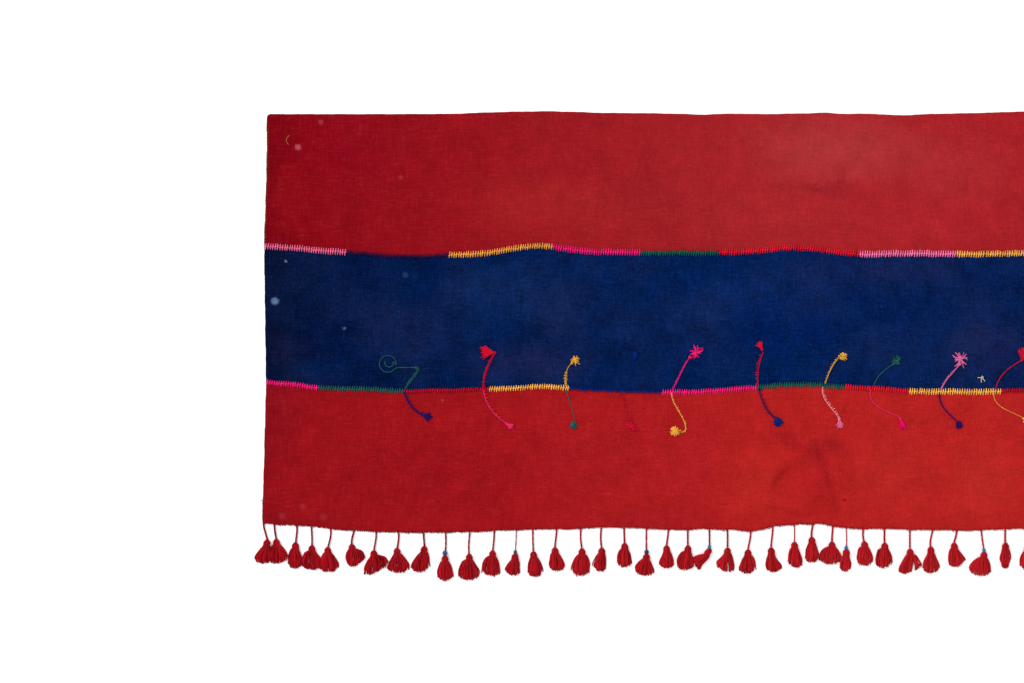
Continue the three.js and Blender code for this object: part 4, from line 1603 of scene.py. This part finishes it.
@dataclass
class LooseEnds:
    """The bow of pale thread, the stray threads and the ochre overcasting of the left end."""

    pale: Rgb = (222, 206, 170)
    tan: Rgb = (196, 130, 80)
    light_blue: Rgb = (60, 110, 170)
    ochre: Rgb = (150, 92, 44)
    bow: tuple[float, float] = (1539.4, -122.0)
    overcast: Triple = (166.0, 424.0, 7.5)
    loop_slant: float = 2.6
    loop_middle: tuple[float, float] = (1.9, 1.5)
    loop_half: tuple[float, float] = (2.6, 1.7)
    loop_radius: float = 0.6

    def thread(self, radius: float, rgb: Rgb, over: float, *corners: tuple[float, float]) -> Shell:
        """A thread through a few corners of (s, y), rounded.

        Args:
            radius: its radius.
            rgb: its colour.
            over: its height over the cloth.
            corners: its corners.

        Returns:
            The thread.
        """
        share = np.linspace(0, len(corners) - 1, 6 * len(corners))
        lines = [np.interp(share, np.arange(len(corners)), line) for line in np.array(corners, float).T]
        path = rounded(np.stack(lines, axis=-1))
        return yarn(LIE.over(path[:, 0], path[:, 1], over)[None], radius, linear(rgb))

    def strays(self) -> Shell:
        """The bow's three ends and its loop, and two stray threads."""
        s, y = self.bow
        return Shell.joined([
            self.thread(0.9, self.pale, 1.4, (s, y), (s - 4, y + 1.5), (s - 9, y + 1)),
            self.thread(0.9, self.pale, 1.4, (s, y), (s - 1.5, y - 4), (s - 1, y - 9)),
            self.thread(0.9, self.pale, 1.4, (s, y), (s + 4.5, y - 3), (s + 6.5, y - 7)),
            self.thread(1.1, self.pale, 2.0, (s - 2, y + 1), (s + 1, y + 5), (s + 3, y + 1), (s, y - 1)),
            self.thread(0.55, self.tan, 0.9, (50, 400), (44, 394), (43, 386), (48, 380)),
            self.thread(0.6, self.light_blue, 0.9, (-5, -384), (0, -384.5), (5, -386)),
        ])

    def overcasting(self) -> Shell:
        """Loops over the left end: most of a circle about its rim, each a little aslant."""
        across = np.arange(*self.overcast)[:, None]
        share = np.linspace(0, 1, 5)[None, :]
        turn = np.pi * (0.1 + 0.9 * share)
        (inward, up), (wide, tall) = self.loop_middle, self.loop_half
        paths = LIE.place(0.0 * across, across + self.loop_slant * share, up + tall * np.sin(turn))
        paths[..., 0] = LIE.x(np.zeros_like(across), across) + inward + wide * np.cos(turn)
        return yarn(paths, self.loop_radius, linear(self.ochre), sides=4)

    def build(self, finish: Material) -> tuple[Object, Object]:
        """The bow and strays as one piece, and the overcasting as another."""
        return self.strays().sewn("stray_threads", finish), self.overcasting().sewn("end_overcasting", finish)


# The room


@dataclass
class Studio:
    """A pale floor, a soft light from the upper left and a camera that looks straight down."""

    floor_half: float = 6000.0
    floor_level: float = -0.3
    floor_corners: int = 5
    paper: Triple = (0.93, 0.93, 0.93)
    paler: Triple = (0.95, 0.95, 0.95)
    eye: Triple = (-0.770, -0.043, 4.0)
    lens: float = 65.4
    key_place: Triple = (-5.0, 4.5, 5.0)
    key_aim: Triple = (-0.4, 0.0, 0.0)
    key_size: float = 4.5
    key_power: float = 440.0
    sky: float = 1.05

    def floor(self) -> Object:
        """A flat grid with a faint mottle."""
        side = np.linspace(-self.floor_half, self.floor_half, self.floor_corners)
        x, y = np.meshgrid(side, side)
        points = np.stack([x, y, np.full_like(x, self.floor_level)], axis=-1).reshape(-1, 3)
        d = Dyer("floor_paper", roughness=0.9)
        colour = d.blend(d.noise(0.002, 1.0) + 0.5, self.paper, self.paler)
        quads = grid_faces(self.floor_corners, self.floor_corners)
        made = Shell.of(points, (1, 1, 1), quads).piece("floor", d.finish(colour, d.noise(0.4), 0.02))
        return made

    def light(self) -> None:
        """The key light and a white sky that fills the shadows."""
        key = bpy.data.lights.new("key", "AREA")
        key.energy, key.size = self.key_power, self.key_size
        lamp = bpy.data.objects.new("key", key)
        lamp.location = self.key_place
        aim = Vector(self.key_aim) - Vector(self.key_place)
        lamp.rotation_euler = aim.to_track_quat("-Z", "Y").to_euler()
        bpy.context.scene.collection.objects.link(lamp)
        world = bpy.data.worlds.new("sky")
        world.use_nodes = True
        backdrop = next(n for n in world.node_tree.nodes if n.type == "BACKGROUND")
        backdrop.inputs["Color"].default_value = (1, 1, 1, 1)
        backdrop.inputs["Strength"].default_value = self.sky
        bpy.context.scene.world = world

    def camera(self) -> None:
        """The camera, square over the floor."""
        lens = bpy.data.cameras.new("camera")
        lens.lens, lens.sensor_width = self.lens, 36.0
        eye = bpy.data.objects.new("camera", lens)
        eye.location = self.eye
        bpy.context.scene.collection.objects.link(eye)
        bpy.context.scene.camera = eye
        bpy.context.scene.view_settings.view_transform = "Standard"


# The runner, sewn together

UPPER_RUNS = rows(
    Run,
    (173, Wool.ROSE, 6.2, 6.4), (394.5, Wool.INDIGO, 3.4, 3.0), (618, Wool.AMBER, 5.6, 6.4),
    (805, Wool.MAGENTA, 6.4, 6.6), (973, Wool.GREEN, 2.2, 8.0), (1274, Wool.RED, 6.2, 6.0),
    (1484.6, Wool.LIGHT_PINK, 6.8, 6.8), (1700, Wool.YELLOW, 5.8, 6.6), (1890, Wool.GREEN),
    (2080, Wool.ROSE), (2260, Wool.ROYAL), (2430, Wool.AMBER), (2600, Wool.MAGENTA),
)
LOWER_RUNS = rows(
    Run,
    (111, Wool.MAGENTA, 4.0, 6.6), (298, Wool.DARK_GREEN, 4.6, 6.2), (478, Wool.CRIMSON, 2.8, 5.8),
    (652.5, Wool.YELLOW, 4.4, 6.4), (852, Wool.ROYAL, 5.0, 3.6), (1057, Wool.MAGENTA, 3.8, 7.8),
    (1246, Wool.GREEN, 4.4, 7.6), (1383.5, Wool.RED, 4.4, 6.6), (1581, Wool.YELLOW, 5.4, 7.2),
    (1760, Wool.CRIMSON, 5.0, 4.0), (1930, Wool.ROSE), (2110, Wool.GREEN), (2290, Wool.RED),
    (2450, Wool.YELLOW), (2600, Wool.MAGENTA),
)
PALE_BLUE_MARK = (118, 142, 190)
ROSY_MARK = (210, 110, 122)
PLAIN_RED = WovenWool(
    "red_wool_plain",
    # the dye ramp: the cloth's own colour with a painted fall of light, darker at the left end
    dyes=(
        (0.0, (124, 7, 20)), (0.03, (137, 8, 22)), (0.17, (152, 20, 29)), (0.42, (170, 37, 42)),
        (0.6, (173, 34, 40)),
    ),
    nap=(206, 96, 98),
    mark=ROSY_MARK,
    grain=0.55,
    # soft areas of painted light and shade over the cloth, with its own uneven colour
    light_and_tone_patches=rows(
        LightAndTonePatch,
        (1235, 370, 260, 110, 0.42, (184, 68, 70)), (1480, 330, 190, 120, 0.25, (186, 60, 64)),
        (620, 250, 260, 90, 0.5, (176, 40, 38)), (820, 275, 200, 70, 0.35, (150, 30, 38)),
        (1150, 245, 240, 60, 0.4, (182, 42, 46)), (1400, 210, 260, 70, 0.4, (186, 38, 48)),
        (1215, 290, 90, 30, 0.35, (140, 24, 38)), (200, 360, 160, 120, 0.4, (144, 10, 32)),
        (50, 260, 60, 100, 0.3, (156, 18, 26)),
    ),
    stains=rows(Stain, (70, 375, 8, 0.6), (119, 429, 7, 0.25), (291, 310, 6, 0.15)),
    slubs=rows(Slub, (1553, 229, 7, 1.4, 0.6), (745, 350, 30, 1.3, 0.3), (779, 197.5, 3.5, 2.4, 0.6)),
)
BLUE = WovenWool(
    "blue_wool",
    # the dye ramp: the cloth's own colour with a painted fall of light, darker at the left end
    dyes=(
        (0.0, (5, 16, 48)), (0.03, (3, 20, 60)), (0.15, (2, 27, 74)), (0.42, (2, 31, 84)),
        (0.6, (7, 31, 81)),
    ),
    nap=(64, 78, 118),
    mark=PALE_BLUE_MARK,
    grain=1.4,
    # soft areas of painted light and shade over the cloth, with its own uneven colour
    light_and_tone_patches=rows(
        LightAndTonePatch,
        (60, 20, 90, 80, 0.4, (3, 13, 44)), (60, -60, 90, 50, 0.3, (22, 16, 50)),
        (110, -105, 120, 40, 0.4, (3, 30, 78)), (110, 100, 110, 60, 0.35, (3, 24, 68)),
        (510, 60, 150, 100, 0.4, (20, 46, 100)), (640, 10, 130, 110, 0.35, (26, 36, 78)),
        (560, -90, 190, 60, 0.4, (40, 38, 78)), (300, -20, 170, 90, 0.35, (26, 36, 82)),
        (1000, 60, 190, 90, 0.35, (8, 40, 100)), (1130, -20, 230, 90, 0.4, (2, 28, 90)),
        (780, -70, 160, 70, 0.35, (3, 24, 70)), (1330, 110, 260, 60, 0.45, (26, 36, 84)),
        (870, 0, 190, 90, 0.3, (18, 30, 76)), (1420, -10, 150, 60, 0.3, (3, 30, 88)),
        (1560, -60, 120, 80, 0.45, (32, 34, 78)),
    ),
    stains=rows(Stain, (20.5, 44, 10, 0.75), (44, 130, 3.4, 0.8), (301, 100, 8, 0.12), (169, -15, 4, 0.5)),
    lint=0.3,
)
TASSELLED_RED = WovenWool(
    "red_wool_tasselled",
    # the dye ramp: the cloth's own colour with a painted fall of light, darker at the left end
    dyes=(
        (0.0, (140, 16, 27)), (0.03, (154, 18, 26)), (0.2, (164, 22, 28)), (0.4, (186, 33, 33)),
        (0.6, (190, 36, 35)),
    ),
    nap=(216, 92, 84),
    mark=ROSY_MARK,
    grain=0.6,
    # soft areas of painted light and shade over the cloth, with its own uneven colour
    light_and_tone_patches=rows(
        LightAndTonePatch,
        (340, -320, 240, 110, 0.35, (146, 14, 28)), (700, -310, 190, 90, 0.4, (166, 26, 34)),
        (840, -425, 200, 50, 0.4, (156, 24, 34)), (920, -320, 120, 120, 0.35, (172, 30, 38)),
        (1050, -350, 90, 110, 0.3, (196, 50, 38)), (1200, -330, 120, 130, 0.3, (164, 26, 34)),
        (1340, -330, 140, 130, 0.3, (192, 46, 40)), (870, -230, 240, 70, 0.3, (168, 24, 36)),
        (1130, -250, 60, 28, 0.4, (140, 18, 30)), (1195, -275, 46, 40, 0.4, (140, 18, 30)),
        (1540, -340, 120, 120, 0.3, (200, 52, 44)),
    ),
    stains=rows(Stain, (380.5, -170, 3, 0.4), (81, -398, 9, 0.1), (36, -418, 10, 0.1), (124, -420, 10, 0.08)),
    slubs=rows(
        Slub, (1244, -383, 7, 2.6, 0.8), (1260, -371, 5, 1.8, 0.5), (474, -220, 6, 1.2, 0.6),
        (813, -188, 4, 3, 0.6), (763, -158, 7, 1.6, 0.5),
    ),
)
SEAM_GAP = 0.15
EDGING_GAP = 0.9
PANELS = rows(
    Panel,
    ("panel_red_plain", UPPER_SEAM, TOP_EDGE, SEAM_GAP, 0.0, PLAIN_RED, "red_wool", 297, 9),
    ("panel_blue", LOWER_SEAM, UPPER_SEAM, SEAM_GAP, SEAM_GAP, BLUE, "blue_wool", 293),
    ("panel_red_tasselled", BOTTOM_EDGE, LOWER_SEAM, EDGING_GAP, SEAM_GAP, TASSELLED_RED, "red_wool", 301),
)


def main() -> None:
    """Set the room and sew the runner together."""
    logging.basicConfig(level=logging.INFO, format="%(name)s: %(message)s")
    studio = Studio()
    studio.camera()
    studio.light()
    floor = studio.floor()
    stitch_wool = SpunWool("stitch_wool", twist=3.2).material()
    tassel_wool = SpunWool("tassel_wool", twist=4.5).material()
    tail_wool = SpunWool("tail_wool", twist=3.6).material()
    upper = JoiningStitches("upper_stitches", UPPER_SEAM, UPPER_RUNS, 11).build(stitch_wool)
    lower = JoiningStitches("lower_stitches", LOWER_SEAM, LOWER_RUNS, 12).build(stitch_wool)
    up, down = laid_tails(tail_wool)
    tassels = all_tassels()
    edging = [
        TasselRow(i + 1, start, end, [t for t in tassels if start < t.root < end])
        for i, (start, end) in enumerate(zip(EDGING_ENDS, EDGING_ENDS[1:]))
    ]
    fringe = [row.build(tassel_wool) for row in edging]
    glass = PressedGlass("beads").material()
    beads = Shell.joined([shell for row in edging for shell in row.beads()]).sewn("beads", glass)
    strays, overcasting = LooseEnds().build(tail_wool)
    sewn = ([*upper, overcasting], [*lower, *up, strays], [*down, *fringe, beads])
    for panel, on_it in zip(PANELS, sewn):
        panel.build(floor, on_it)


if __name__ == "__main__":
    main()
